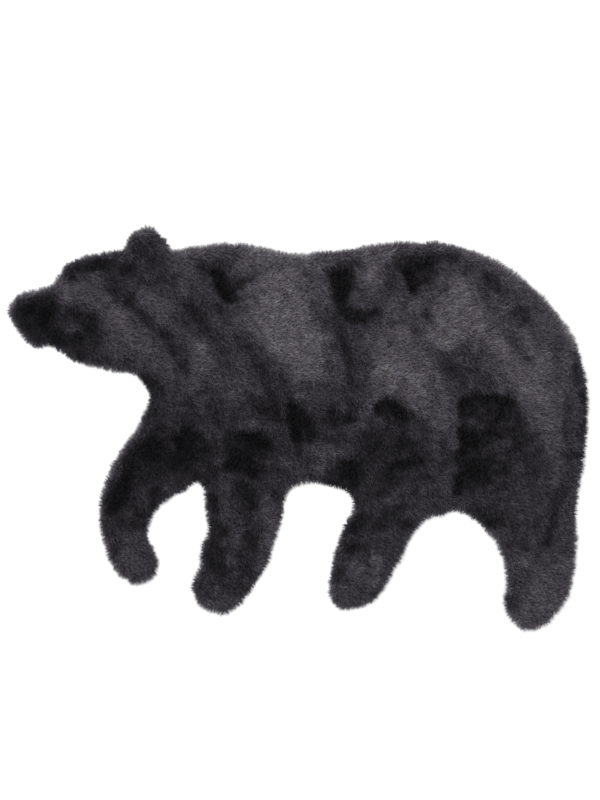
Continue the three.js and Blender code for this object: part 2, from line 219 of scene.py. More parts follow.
# How the nap is brushed, laid one stroke over another: amount is the lightness in stops from the middle tone,
# low where the hairs face away from the light and high where they catch it. This lightness is painted sheen and
# shade in the colour of the hairs and the undercoat, and it also sets how far the hairs lean and turn
NAP: dict[str, list[Stroke]] = {
    "broad fields": strokes(
        ((-480, 265, -300, 270, -200, 330), 50, 0.2), ((-400, 200, -290, 150), 40, 0.45),
        ((-180, 130, -130, 90), 45, 0.15), ((-100, 335, 60, 330, 200, 350), 36, 0.8),
        ((120, 270, 200, 240, 260, 260), 45, 0.6), ((130, 180, 125, 90), 28, 0.15),
        ((330, 330, 420, 270, 510, 200), 55, 0.45), ((540, 160, 550, 60, 560, -60), 30, 0.25),
        ((-300, -50, -180, -60, -60, -60), 52, -0.6), ((-180, 30, -60, 40), 35, -0.3),
        ((30, 5, 160, -25, 250, -60), 50, -0.6), ((160, -110, 260, -110), 30, -0.4), ((420, -70, 430, -130), 55, -0.3),
        ((-330, -120, -355, -165), 42, -0.6), ((-120, -130, -140, -300), 48, -0.6), ((170, -190, 130, -240), 50, -0.4),
    ),
    "muzzle": strokes(
        ((-544, 238, -530, 230), 36, -1.9, 3), ((-547, 204, -505, 194), 19, -1.5, 3),
        ((-515, 265, -508, 245), 14, -1.4, 3), ((-470, 240, -432, 222, -426, 200), 20, -1.15, 3),
        ((-482, 187, -462, 176), 17, -1.3, 3), ((-476, 213, -468, 208), 14, 0.1, 3),
        ((-500, 184, -494, 180), 12, -2.1), ((-461, 196, -453, 189), 10, -2.0), ((-452, 152, -442, 150), 8, -1.8),
        ((-530, 216, -522, 240), 12, -2.4), ((-427, 205, -423, 200), 9, -1.6), ((-562, 244, -540, 256), 11, -2.3),
        ((-520, 274, -510, 270), 9, -1.4), ((-492, 232, -481, 214), 10, -0.5), ((-571, 247, -566, 240), 8, -2.0),
        ((-568, 216, -562, 212), 7, -1.9), ((-480, 156, -470, 150), 7, -1.5), ((-424, 146, -416, 142), 7, -0.7),
        ((-413, 200, -414, 176), 9, -0.8),
    ),
    "bridge and brow": strokes(
        ((-482, 278, -440, 280, -405, 260), 19, 0.75, 3), ((-442, 290, -430, 281), 11, 1.15),
        ((-464, 311, -425, 312), 13, 0.2), ((-474, 320, -462, 334, -410, 338, -365, 335), 12, -1.2, 3),
        ((-450, 333, -440, 333), 9, -1.5), ((-425, 337, -408, 340), 10, -1.9), ((-358, 326, -344, 329), 12, -1.5, 3),
        ((-388, 318, -378, 288, -362, 262), 18, -0.6, 3), ((-378, 285, -372, 278), 8, -0.85),
        ((-330, 326, -324, 318), 10, 0.0),
    ),
    "cheek": strokes(
        ((-346, 278, -342, 256, -322, 234, -303, 218), 14, -0.95, 3), ((-346, 266, -340, 258), 8, -1.3),
        ((-286, 203, -272, 178, -260, 158), 14, -0.85, 3), ((-284, 204, -278, 199), 8, -1.2),
        ((-303, 197, -284, 166), 10, -1.3), ((-250, 140, -246, 116), 8, -0.2),
        ((-378, 232, -350, 200, -322, 176, -308, 166), 26, 0.9, 3), ((-378, 234, -366, 222), 13, 1.3),
        ((-322, 268, -298, 254, -280, 240), 20, 0.95, 4), ((-290, 225, -250, 210, -232, 192, -214, 165), 11, 0.6),
        ((-300, 142, -275, 140), 14, 0.65), ((-275, 112, -262, 108), 11, 0.6), ((-395, 140, -365, 136), 10, -0.3),
        ((-359, 137, -353, 137), 7, -0.7), ((-233, 140, -231, 122), 8, -1.0),
    ),
    "ear and nape": strokes(
        ((-328, 366, -305, 384, -300, 356), 18, -0.5, 3), ((-342, 360, -325, 370), 10, -0.75),
        ((-300, 345, -290, 322), 14, -0.5), ((-325, 303, -270, 303), 9, -0.6), ((-340, 292, -325, 292), 8, 0.6),
        ((-292, 289, -278, 297), 9, 0.6), ((-232, 334, -224, 328), 14, 0.7), ((-236, 292, -232, 282), 12, 0.6),
        ((-226, 300, -222, 294), 9, -0.3), ((-264, 288, -246, 264, -232, 252), 12, -0.1),
    ),
    "throat and chest": strokes(
        ((-318, 106, -298, 96, -288, 78, -290, 45, -293, 12), 14, -1.0, 3),
        ((-286, 24, -230, 42, -222, 22), 20, -0.5, 3), ((-284, 60, -262, 62, -248, 74), 13, 0.15, 3),
        ((-268, 42, -236, 42), 8, 0.1), ((-314, -42, -250, -48, -205, -62), 37, -1.5, 4),
        ((-318, -38, -292, -32), 25, -2.1, 3), ((-300, -62, -296, -66), 14, -2.0),
        ((-240, -10, -222, -28), 24, -2.1, 3), ((-256, -74, -230, -58, -205, -42), 12, -2.0),
        ((-282, -56, -281, -86), 8, -1.2), ((-212, -66, -190, -95), 22, -1.1, 3), ((-244, -12, -246, -52), 9, -2.3),
        ((-166, -64, -160, -72), 9, -0.1), ((-262, 10, -250, 2), 10, -0.2), ((-286, -14, -264, -10), 8, -0.7),
        ((-342, -34, -326, -12), 9, -0.5), ((-208, -42, -220, -56), 8, -2.2), ((-212, -35, -196, -30), 6, -0.9),
        ((-202, -52, -196, -59), 7, -0.9), ((-270, -26, -258, -36), 8, -0.9), ((-284, -80, -280, -92), 9, -0.6),
    ),
    "neck": strokes(
        ((-230, 258, -216, 242, -204, 226, -196, 212), 13, -0.8, 3), ((-214, 244, -206, 230), 8, -1.0),
        ((-192, 205, -172, 190, -162, 172), 11, -0.65), ((-168, 255, -162, 245), 9, -0.8),
        ((-172, 222, -158, 212), 10, 0.3), ((-206, 166, -208, 122, -219, 100, -212, 76), 17, 0.8, 3),
        ((-204, 162, -202, 152), 9, 1.35), ((-188, 146, -182, 124), 14, 0.75), ((-150, 180, -150, 130), 9, -0.25),
        ((-136, 152, -124, 140, -122, 112), 9, 0.5), ((-178, 92, -158, 100, -130, 82), 10, 0.45),
        ((-148, 68, -128, 62), 12, 0.5), ((-222, 62, -204, 74, -190, 80), 9, -0.45),
        ((-182, 48, -168, 42, -165, 5), 9, -0.75), ((-164, 140, -158, 134), 8, -0.3), ((-160, 48, -153, 22), 9, 0.15),
    ),
    "nape dent": strokes(
        ((-200, 338, -182, 328), 13, -0.9), ((-168, 345, -140, 338), 12, -0.5),
        ((-167, 319, -157, 295, -142, 277), 15, -1.6, 3), ((-168, 318, -161, 299), 11, -2.2),
        ((-154, 289, -144, 276), 11, -2.3), ((-134, 292, -120, 306, -100, 312), 9, -1.3),
        ((-126, 280, -114, 272), 8, 0.4), ((-128, 332, -120, 330), 12, 1.0),
    ),
    "shoulder": strokes(
        ((-132, 192, -106, 166, -84, 140), 11, -0.55), ((-82, 132, -74, 118), 12, -1.15, 3),
        ((-68, 106, -59, 86, -54, 60, -46, 30), 11, -0.85, 3), ((-52, 52, -44, 22), 10, -1.4),
        ((-38, 110, -34, 102), 8, -1.0), ((-22, 82, -20, 66), 8, -1.3), ((-96, 60, -76, 42, -62, 36), 15, -1.0, 3),
        ((-82, 84, -78, 76), 9, 0.4), ((-112, 128, -114, 96), 10, 0.4), ((-128, 30, -105, 24), 15, 0.0, 3),
        ((-100, 14, -94, 12), 8, 0.35),
    ),
    "flank": strokes(
        ((-88, 335, -40, 322, 20, 320, 38, 290), 30, 0.9, 4), ((-110, 250, -108, 212), 18, 0.9, 3),
        ((-98, 290, -92, 252), 14, 1.2, 3), ((-52, 174, -22, 138, 0, 110), 14, 1.3, 4),
        ((6, 110, 56, 112), 13, 1.2, 4), ((-16, 76, -8, 66), 8, 0.3), ((-28, 130, -12, 98), 11, 1.1),
        ((40, 268, 56, 262), 12, 0.8), ((55, 190, 62, 160, 74, 110), 20, 0.5, 3),
        ((-62, 296, -58, 250, -72, 205), 30, 1.5, 5), ((-25, 292, -12, 262), 34, 1.5, 5),
        ((-45, 205, -10, 225, 10, 225), 34, 1.6, 5), ((-38, 180, 0, 175, 24, 178), 30, 1.6, 5),
        ((0, 140, 22, 138, 28, 175), 28, 1.55, 5), ((2, 118, 30, 115), 16, 1.4, 4), ((-108, 218, -102, 212), 9, 1.35),
        ((-76, 278, -74, 270), 9, 1.0), ((10, 330, 16, 322), 11, 0.6), ((38, 238, 46, 228), 12, 0.4),
        ((-8, 296, -2, 288), 8, 0.9), ((6, 72, 44, 68), 14, 0.6, 3), ((60, 72, 44, 44), 12, 0.35),
        ((80, 112, 84, 100), 9, 0.9), ((-98, 340, -84, 332), 12, 1.3), ((34, 240, 25, 216), 10, 0.7),
        ((53, 170, 50, 160), 8, 0.4), ((78, 184, 72, 180), 8, -0.2), ((-84, 240, -66, 250), 13, 1.7),
        ((-100, 342, -98, 332), 8, 0.9), ((-128, 230, -120, 216), 9, 0.9), ((-160, 196, -136, 164), 8, 0.1),
    ),
    "back dent": strokes(
        ((66, 322, 88, 332, 102, 322), 14, -1.2, 3), ((84, 324, 90, 306, 88, 270), 15, -2.1, 4),
        ((96, 322, 102, 296), 12, -1.9), ((90, 252, 104, 236), 12, -1.3),
        ((100, 235, 134, 231, 160, 240), 12, -1.4, 3), ((104, 232, 112, 228), 9, -2.0),
        ((122, 234, 136, 231), 9, -2.0), ((76, 226, 88, 196, 96, 160, 106, 120, 112, 86), 11, -0.65, 3),
        ((96, 182, 98, 160), 7, -0.95), ((74, 304, 83, 280), 9, -1.8), ((146, 220, 160, 216), 9, 0.4),
        ((104, 62, 110, 32), 10, -0.9), ((86, 240, 138, 240), 8, -1.6),
    ),
    "back and loin": strokes(
        ((146, 340, 150, 300), 17, 1.0, 3), ((148, 326, 146, 306), 10, 1.4), ((165, 305, 168, 298), 8, 1.3),
        ((186, 262, 194, 248), 14, 0.85), ((188, 340, 186, 318), 10, 0.0), ((184, 298, 186, 286), 8, -0.15),
        ((142, 190, 140, 178), 10, 0.9), ((172, 192, 164, 158), 14, 0.9, 3),
        ((212, 184, 194, 130, 182, 94), 31, 1.5, 5), ((206, 140, 232, 112, 250, 72), 30, 1.45, 5),
        ((172, 130, 160, 84), 16, 1.1, 4), ((222, 78, 244, 52, 262, 36), 16, 1.2, 4),
        ((262, 150, 262, 122), 16, 1.1, 3), ((80, 338, 118, 343), 10, -0.5), ((176, 210, 184, 204), 10, 0.9),
        ((192, 188, 185, 176), 7, 0.5), ((250, 158, 240, 140), 12, 1.4), ((280, 112, 286, 100), 10, 1.3),
        ((178, 134, 165, 106), 11, 1.5), ((166, 78, 150, 56, 128, 32), 11, 0.7, 3),
        ((300, 66, 290, 34, 288, 12), 24, 0.85, 4), ((284, 92, 290, 88), 10, 1.2), ((302, 62, 304, 54), 8, 1.25),
        ((276, 48, 288, 44), 9, 0.55), ((318, -22, 314, -30), 11, 0.65), ((206, 170, 210, 160), 7, 0.95),
        ((236, 128, 242, 122), 6, 1.0), ((156, 68, 174, 82), 9, 1.1), ((230, 202, 236, 192), 7, 0.3),
        ((202, 60, 218, 52), 8, 0.6),
    ),
    "croup": strokes(
        ((204, 344, 214, 330), 14, -0.7), ((224, 330, 242, 342, 272, 346), 16, -1.6, 4),
        ((236, 320, 240, 296), 14, -2.1, 3), ((256, 336, 268, 341), 11, -2.2, 3), ((246, 312, 262, 302), 13, -1.2),
        ((260, 322, 280, 330), 9, -1.3), ((282, 354, 322, 354), 9, -1.2, 3), ((344, 340, 340, 332), 9, -0.3),
        ((262, 242, 266, 228), 9, -0.6), ((238, 252, 242, 248), 10, 1.3),
        ((330, 282, 318, 245, 346, 235), 34, 1.55, 5), ((296, 232, 296, 215, 378, 205), 22, 1.5, 5),
        ((276, 192, 312, 186, 330, 195), 19, 1.4, 5), ((372, 200, 402, 196, 410, 182), 18, 1.3, 4),
        ((404, 178, 420, 156, 452, 122), 22, 1.25, 4), ((302, 330, 300, 300), 12, 0.85, 3),
        ((294, 296, 272, 272), 15, 0.85, 3), ((252, 216, 266, 206), 12, 1.2), ((256, 180, 308, 176), 15, 1.15, 3),
        ((360, 286, 370, 250), 12, 1.35, 3), ((282, 270, 288, 250), 12, 0.7), ((238, 284, 256, 278), 9, 0.4),
        ((288, 338, 300, 332), 9, 0.2), ((284, 250, 306, 262), 13, 1.1, 3), ((392, 236, 406, 220), 12, 1.0, 3),
        ((434, 212, 448, 198), 13, 0.95, 3), ((340, 62, 370, 72), 8, -1.1),
        ((305, 132, 322, 120, 340, 104), 13, -0.55, 3), ((312, 128, 316, 122), 6, -1.1),
        ((352, 122, 362, 118), 10, -0.5), ((368, 154, 374, 146), 8, -0.4), ((390, 118, 384, 96), 12, -0.25),
        ((225, 318, 236, 294), 9, -2.4), ((218, 354, 250, 352, 278, 350, 312, 358), 9, -1.3),
        ((252, 293, 272, 298), 7, 0.4), ((296, 262, 322, 262), 10, 1.8), ((284, 185, 304, 180), 10, 1.8),
        ((357, 182, 364, 164), 9, 1.0),
    ),
    "rump": strokes(
        ((386, 316, 398, 304, 404, 296), 12, -0.6, 3), ((418, 286, 428, 282), 9, -0.15),
        ((452, 246, 464, 240, 466, 220), 11, -0.6, 3), ((446, 274, 450, 268), 8, 0.0), ((414, 252, 422, 248), 9, 0.75),
        ((484, 202, 500, 196), 18, 0.85), ((445, 190, 462, 160, 462, 140), 9, 0.5),
        ((506, 140, 490, 110, 464, 112), 26, 1.4, 5), ((480, 88, 500, 62, 522, 62), 24, 1.35, 5),
        ((500, 32, 512, 14), 13, 1.3, 4), ((424, 132, 452, 86, 476, 40, 484, 8), 13, 0.9, 4),
        ((468, 200, 488, 168), 16, 0.95, 3), ((540, 150, 552, 136), 16, 0.9), ((472, 190, 476, 158), 9, 1.1),
        ((548, 198, 557, 164), 12, 0.9, 3), ((512, 100, 546, 120), 13, 1.2, 3), ((518, -40, 530, -72), 11, 0.65),
        ((578, 34, 577, -24), 8, -0.5), ((536, 100, 536, 30, 528, -20), 22, 0.85, 4), ((490, 20, 510, -20), 14, 0.75),
        ((530, -44, 530, -80, 526, -118), 10, 0.6, 3), ((532, 150, 536, 180), 9, 0.3), ((558, 48, 554, 30), 9, -0.3),
        ((570, 24, 568, 4), 7, 0.6), ((566, 84, 562, 68), 9, 0.5), ((572, 128, 574, 96), 8, -0.8, 3),
        ((584, 74, 586, 58), 8, -1.2, 3), ((588, 40, 588, 8), 6, -0.7, 3), ((556, -56, 584, -52), 9, -0.6, 3),
        ((503, 30, 518, 6), 12, 1.35), ((552, 58, 550, 44), 8, -0.2), ((548, 16, 549, -26), 8, -0.3),
        ((571, 44, 571, 26), 7, 0.5), ((432, 120, 460, 102, 464, 86), 12, 1.7),
    ),
    "haunch": strokes(
        ((460, -60, 480, -90), 26, -0.45), ((420, 30, 440, 20, 444, -10), 22, -1.1, 4),
        ((366, 20, 378, 0, 420, -40), 34, -1.3, 4), ((345, 52, 382, 58, 425, 56, 442, 44), 17, -1.8, 5),
        ((348, 36, 348, 30), 18, -1.4, 4), ((339, 2, 341, -12), 8, -1.8, 3), ((382, 62, 388, 57), 10, -2.2),
        ((414, 44, 404, 22, 416, 36, 436, 50), 12, -2.2, 3), ((396, -8, 410, -12), 9, -1.8, 3),
        ((350, -22, 356, -60, 374, -92), 26, -1.7, 5), ((350, -14, 366, -32), 15, -2.3, 3),
        ((342, -54, 356, -60), 13, -2.2), ((360, -88, 386, -92, 392, -70), 13, -2.1, 3),
        ((338, -104, 328, -126), 12, -2.0, 3), ((368, -112, 380, -100), 14, -1.3), ((352, 18, 376, 8), 9, -0.3),
        ((430, 36, 442, 30, 436, 12), 8, -0.8), ((449, -26, 452, -36), 9, -1.3, 3),
        ((424, -84, 412, -88), 12, -1.6, 3), ((414, -128, 422, -122), 10, -1.4), ((414, -36, 432, -26), 14, 0.1, 3),
        ((492, -88, 480, -92), 9, -0.8), ((456, -82, 466, -78), 9, -0.1), ((466, -138, 464, -168), 18, 0.3, 3),
        ((396, 51, 406, 40), 7, -1.0), ((342, -88, 327, -98), 9, -1.9), ((382, 132, 404, 118, 424, 90), 14, 0.8, 3),
        ((348, -122, 356, -126), 8, -1.3), ((394, -88, 404, -72), 8, -0.9), ((468, -116, 498, -106), 10, 0.05),
        ((420, -136, 432, -184), 13, 0.05, 3), ((317, 24, 320, -36), 9, 0.6, 3),
        ((284, -22, 284, -58, 276, -92), 7, 0.25), ((298, -22, 300, -70), 7, -0.7, 3),
        ((302, -100, 302, -125), 8, 0.25), ((318, -62, 314, -84), 8, 0.25), ((430, -10, 462, -18), 10, -0.7, 3),
        ((428, 37, 444, 38), 8, -0.9), ((452, -146, 446, -174), 11, 0.3),
    ),
    "side and belly": strokes(
        ((68, 38, 76, 22, 112, 20), 12, -1.1, 3), ((76, 18, 74, 14), 7, -1.6), ((108, 22, 112, 18), 7, -1.7),
        ((88, 46, 90, 38), 7, 0.1), ((136, 30, 134, 10), 10, 0.35), ((50, -6, 100, -6), 9, -0.1),
        ((60, -22, 96, -24), 7, -0.9), ((10, 34, 26, 18, 24, -10), 14, -1.4, 4),
        ((-14, 44, -8, 14, -3, -20), 14, -2.2, 4), ((8, 34, 10, 10), 12, -1.9, 4), ((20, 5, 22, -8), 10, -1.8),
        ((-2, -38, 0, -52), 7, -1.3), ((20, -60, 16, -68), 8, -0.8), ((28, -44, 62, -46, 100, -38), 14, 0.4, 3),
        ((22, 44, 38, 30), 11, -0.1), ((124, 8, 98, 2), 8, 0.2), ((92, 76, 96, 62), 8, -0.4),
        ((126, -58, 133, -86), 10, -1.1), ((-170, -118, -158, -103, -130, -98), 9, 0.0), ((108, -4, 106, -12), 7, 0.3),
        ((48, -52, 44, -82), 11, 0.65, 3), ((64, -44, 72, -48), 8, 0.75),
        ((92, -80, 118, -82, 112, -106), 18, -1.5, 4), ((107, -72, 114, -84), 12, -2.1, 3),
        ((88, -97, 102, -102), 10, -2.0, 3), ((66, -92, 76, -96), 9, -0.9),
        ((-133, -22, -100, -30, -70, -36), 23, -1.8, 5), ((-132, -58, -104, -72), 22, -1.75, 5),
        ((-92, -90, -76, -90), 14, -1.7, 3), ((-116, -18, -82, -16, -66, -30), 11, -2.3, 3),
        ((-138, -74, -110, -58, -92, -82), 12, -2.2, 3), ((-58, -72, -30, -68), 10, 0.2, 3),
        ((-30, -70, -24, -74), 9, 0.7), ((-50, -84, -46, -86), 8, -0.9), ((-16, -100, -18, -108), 8, -0.8),
        ((-40, -100, -64, -108, -4, -92), 11, 0.0), ((-36, -22, -46, -14), 14, -0.5),
        ((-148, -4, -146, -28, -116, -33), 7, -0.8), ((-60, -48, -52, -52), 8, -0.2), ((-74, -98, -64, -102), 9, -0.4),
        ((-152, -74, -146, -82), 9, -2.3),
    ),
    "loin block": strokes(
        ((168, 42, 186, 50, 204, 40, 214, 26), 15, -1.75, 5), ((183, 38, 182, 8, 174, -8), 8, -1.2, 3),
        ((190, -82, 214, -70), 9, -2.1), ((274, 28, 277, -10), 9, 0.9, 3), ((180, -116, 196, -122), 10, 0.0),
        ((220, -142, 218, -162), 10, 0.3), ((158, -164, 180, -166), 9, 0.1), ((196, 46, 210, 28), 10, -2.3),
        ((200, 10, 214, 14), 13, -1.3), ((152, -20, 156, -50), 20, -1.15, 3), ((176, 12, 164, 10), 7, 0.15),
        ((216, -12, 214, -30, 238, -34), 14, -1.5, 3), ((246, -34, 242, -50), 12, -1.4),
        ((202, -76, 220, -72, 262, -66), 10, -1.8, 3), ((246, 14, 252, 4), 10, -0.5),
        ((266, -4, 268, -60), 10, -0.3, 3), ((200, -136, 282, -120), 13, 0.2), ((172, -92, 200, -102), 13, -1.1),
        ((258, -98, 266, -100), 8, -1.1), ((184, -148, 196, -150), 10, 0.5), ((166, -128, 182, -130), 9, -0.9),
        ((232, -130, 240, -128), 8, -0.8), ((278, -10, 279, -60), 8, 0.3, 3), ((194, 5, 204, -2), 8, -0.1),
        ((250, -110, 272, -114), 9, 0.3),
    ),
    "far foreleg": strokes(
        ((-348, -92, -370, -130, -388, -158), 20, -1.8, 5), ((-350, -88, -364, -126, -388, -160), 12, -2.2, 3),
        ((-326, -98, -300, -90), 22, -1.2, 3), ((-354, -66, -344, -72), 11, -2.2),
        ((-336, -107, -328, -109), 10, -0.5), ((-398, -196, -388, -216), 8, -1.0),
        ((-298, -124, -306, -156), 11, -1.5, 3), ((-252, -108, -240, -100), 12, -0.9),
        ((-320, -126, -318, -150), 8, -0.2), ((-330, -172, -318, -178), 12, -1.5), ((-346, -174, -352, -168), 9, -0.4),
        ((-380, -192, -340, -194), 12, -0.7, 3), ((-330, -196, -322, -200), 9, -1.0),
        ((-352, -228, -332, -234), 17, 0.25, 3), ((-352, -262, -338, -284), 20, 0.6, 3),
        ((-382, -236, -380, -248), 7, -0.8, 3), ((-399, -146, -402, -166), 7, -0.5),
        ((-352, -311, -334, -319), 8, 0.6),
    ),
    "near foreleg": strokes(
        ((-154, -120, -156, -160, -152, -182), 12, 0.3, 3), ((-130, -172, -128, -186), 12, 0.1),
        ((-176, -140, -174, -164), 8, -1.4, 3), ((-122, -114, -104, -140, -96, -166), 15, -1.2, 4),
        ((-104, -130, -96, -156), 8, -1.6), ((-102, -220, -92, -234), 15, -1.1, 4),
        ((-172, -202, -158, -212, -170, -236), 14, -1.15, 4), ((-122, -206, -130, -232, -134, -240), 9, 0.65, 3),
        ((-142, -198, -135, -234), 10, 0.4), ((-142, -264, -142, -308), 13, 0.6, 3),
        ((-120, -226, -117, -238), 6, -0.8), ((-104, -180, -76, -192), 9, 0.0), ((-56, -130, -54, -142), 7, -0.8),
        ((-140, -286, -143, -304), 9, -0.2), ((-178, -258, -170, -282, -164, -296), 15, -1.1, 4),
        ((-110, -286, -108, -300, -118, -314), 13, -1.05, 4), ((-66, -150, -58, -192, -72, -240), 14, 0.6, 4),
        ((-60, -198, -50, -204), 10, 1.0), ((-76, -256, -84, -285), 8, 0.5), ((-46, -130, -42, -140), 9, -0.8),
        ((-192, -318, -172, -312), 14, -0.15, 3), ((-178, -336, -172, -332), 9, 0.4),
        ((-192, -350, -186, -344), 9, -0.4), ((-160, -362, -118, -342), 15, 0.35, 3),
        ((-186, -366, -170, -372), 10, 0.7), ((-146, -334, -122, -336), 10, -0.5), ((-108, -314, -96, -322), 9, 0.1),
        ((-160, -232, -140, -224, -122, -210), 8, 0.2),
    ),
    "near hind leg": strokes(
        ((134, -178, 122, -198), 12, -1.15, 3), ((120, -198, 114, -206), 9, -1.8),
        ((104, -247, 134, -241), 10, -1.0, 3), ((108, -248, 116, -242), 8, -1.7),
        ((170, -190, 182, -174, 212, -164), 13, -0.95, 3), ((162, -206, 176, -196), 12, -1.1),
        ((216, -200, 228, -196), 12, -1.15, 3), ((186, -238, 192, -256), 14, 0.0, 3), ((152, -252, 160, -244), 8, 0.3),
        ((116, -282, 112, -300, 146, -312), 20, 0.6, 4), ((158, -218, 152, -236), 9, -0.1),
        ((128, -212, 130, -228), 9, 0.0), ((184, -196, 192, -208), 8, 0.1), ((84, -327, 104, -338), 10, 0.8),
        ((156, -268, 164, -288), 12, 1.0, 3), ((132, -342, 104, -344), 14, 0.6), ((84, -302, 79, -314), 9, -0.9, 3),
        ((92, -290, 88, -296), 8, -0.7), ((118, -322, 132, -334), 6, -0.1), ((94, -362, 96, -370), 8, 0.6),
        ((80, -326, 90, -336), 9, 0.7), ((118, -256, 148, -256), 7, 0.0),
    ),
    "far hind leg": strokes(
        ((364, -168, 392, -186, 408, -192), 14, -1.1, 3), ((392, -186, 404, -190), 8, -1.5),
        ((444, -206, 436, -192), 12, -0.4), ((492, -184, 488, -206), 7, -0.5), ((488, -232, 482, -246), 8, 0.6),
        ((462, -240, 470, -246), 9, -0.5), ((442, -238, 438, -232), 7, -0.6),
        ((538, -140, 528, -172, 520, -212, 512, -236), 11, -0.95, 3), ((537, -144, 533, -152), 8, -1.3),
        ((522, -206, 518, -222), 8, -1.3), ((444, -282, 474, -270), 14, 0.65, 3), ((462, -282, 472, -280), 8, 1.0),
        ((452, -308, 486, -312), 10, 0.5), ((498, -276, 528, -244, 532, -262, 546, -284), 11, 0.65, 3),
        ((552, -186, 548, -206, 540, -236), 12, 0.35), ((572, -180, 568, -240), 12, 0.5),
        ((508, -308, 492, -350, 476, -388), 30, 0.95, 5), ((558, -292, 540, -340, 520, -372), 22, 0.85, 4),
        ((500, -336, 494, -366), 8, 1.3), ((446, -332, 458, -344), 9, 0.3), ((444, -358, 450, -366), 9, -0.3),
        ((548, -160, 544, -184), 10, 0.4), ((532, -214, 530, -232), 7, 0.2),
    ),
    "last touches": strokes(
        ((-558, 228, -546, 233), 9, -1.4), ((-92, -16, -86, -24), 8, -2.6), ((298, 342, 308, 334), 10, 0.4),
        ((226, -10, 240, -16), 10, 0.2), ((458, 50, 470, 40), 8, 0.9), ((522, -130, 534, -138), 8, 0.0),
        ((332, -1, 334, -13), 7, -2.3), ((-240, -16, -243, -40), 6, -3.0), ((-438, 182, -442, 156), 10, -0.8),
        ((-546, 203, -522, 190), 9, -0.8), ((324, -62, 340, -63, 366, -50), 10, -1.1), ((384, -38, 412, -26), 9, -0.3),
        ((424, -56, 448, -54), 9, -0.5), ((58, -88, 68, -90), 8, -1.1), ((60, -106, 102, -109), 9, -1.3),
        ((120, -140, 116, -152), 9, -0.7), ((466, 196, 472, 158), 9, 1.5),
        ((372, 48, 378, 26, 396, 26, 402, 48), 8, -0.7), ((246, -38, 258, -54), 8, -0.3),
        ((152, -222, 180, -218), 9, 0.4), ((534, -288, 556, -276), 9, 1.2), ((527, -132, 531, -160), 8, -0.5),
        ((400, -150, 412, -174), 10, -0.7), ((-156, -94, -144, -95), 8, 0.2), ((-130, -224, -122, -214), 8, 0.3),
        ((-84, -176, -68, -184), 9, 0.7), ((-306, 196, -288, 166), 11, 0.1), ((-56, 104, -54, 84), 9, 0.0),
        ((-208, 58, -202, 36), 8, 0.4), ((-180, 288, -174, 276), 8, 0.3), ((150, 150, 154, 138), 8, 0.9),
        ((154, 112, 180, 128), 9, 2.0), ((346, 114, 366, 108), 8, 0.4), ((318, 150, 346, 140), 9, 0.4),
        ((276, 240, 306, 241), 8, 1.7), ((-118, -70, -90, -76), 8, -1.5), ((-206, -82, -194, -74), 8, -0.7),
        ((-174, -70, -164, -66), 8, 0.1),
    ),
}


# How pale the outermost tips are where they differ from their neighbours, in stops: partly the tips' own
# paler colour, partly a painted highlight that is strongest on the rims that face the light
FRINGE = strokes(
    ((-540, 284, -586, 266, -600, 238, -578, 196), 18, 3.0, 4), ((-535, 166, -460, 138, -400, 124), 14, 1.9, 4),
    ((-395, 356, -352, 368), 20, 0.6, 4), ((40, 358, 100, 368), 24, 0.9, 4),
    ((150, 376, 250, 384, 330, 374), 24, 1.5, 4), ((430, 330, 520, 250, 560, 190), 30, 2.5, 4),
    ((596, 90, 592, 20, 580, -70), 18, 0.2, 4), ((-316, 106, -304, 60, -314, 24), 18, 0.2, 4),
    ((-334, -6, -350, -34), 12, 2.8, 4), ((-404, -136, -409, -172), 12, 3.0, 4),
    ((-273, -146, -212, -112), 18, 0.1, 4), ((-188, -116, -186, -200, -198, -290, -214, -330), 20, 1.0, 4),
    ((40, -108, 96, -118, 120, -150), 18, 0.0, 4), ((108, -196, 72, -280, 66, -330), 20, 1.1, 4),
    ((424, -250, 430, -360), 18, 1.2, 4),
)


def nearest_corners(points: np.ndarray, ring: np.ndarray) -> tuple[np.ndarray, np.ndarray]:
    """Distance from each point to the nearest corner of a ring, and that corner's number.

    Args:
        points: N by 2 array.
        ring: the ring's corners, M by 2.

    Returns:
        N distances and N numbers.
    """
    distance = np.empty(len(points))
    closest = np.empty(len(points), dtype=int)
    for begin in range(0, len(points), BATCH):
        part = slice(begin, begin + BATCH)
        gaps = np.linalg.norm(points[part, None, :] - ring[None, :, :], axis=2)
        distance[part] = gaps.min(axis=1)
        closest[part] = gaps.argmin(axis=1)
    return distance, closest


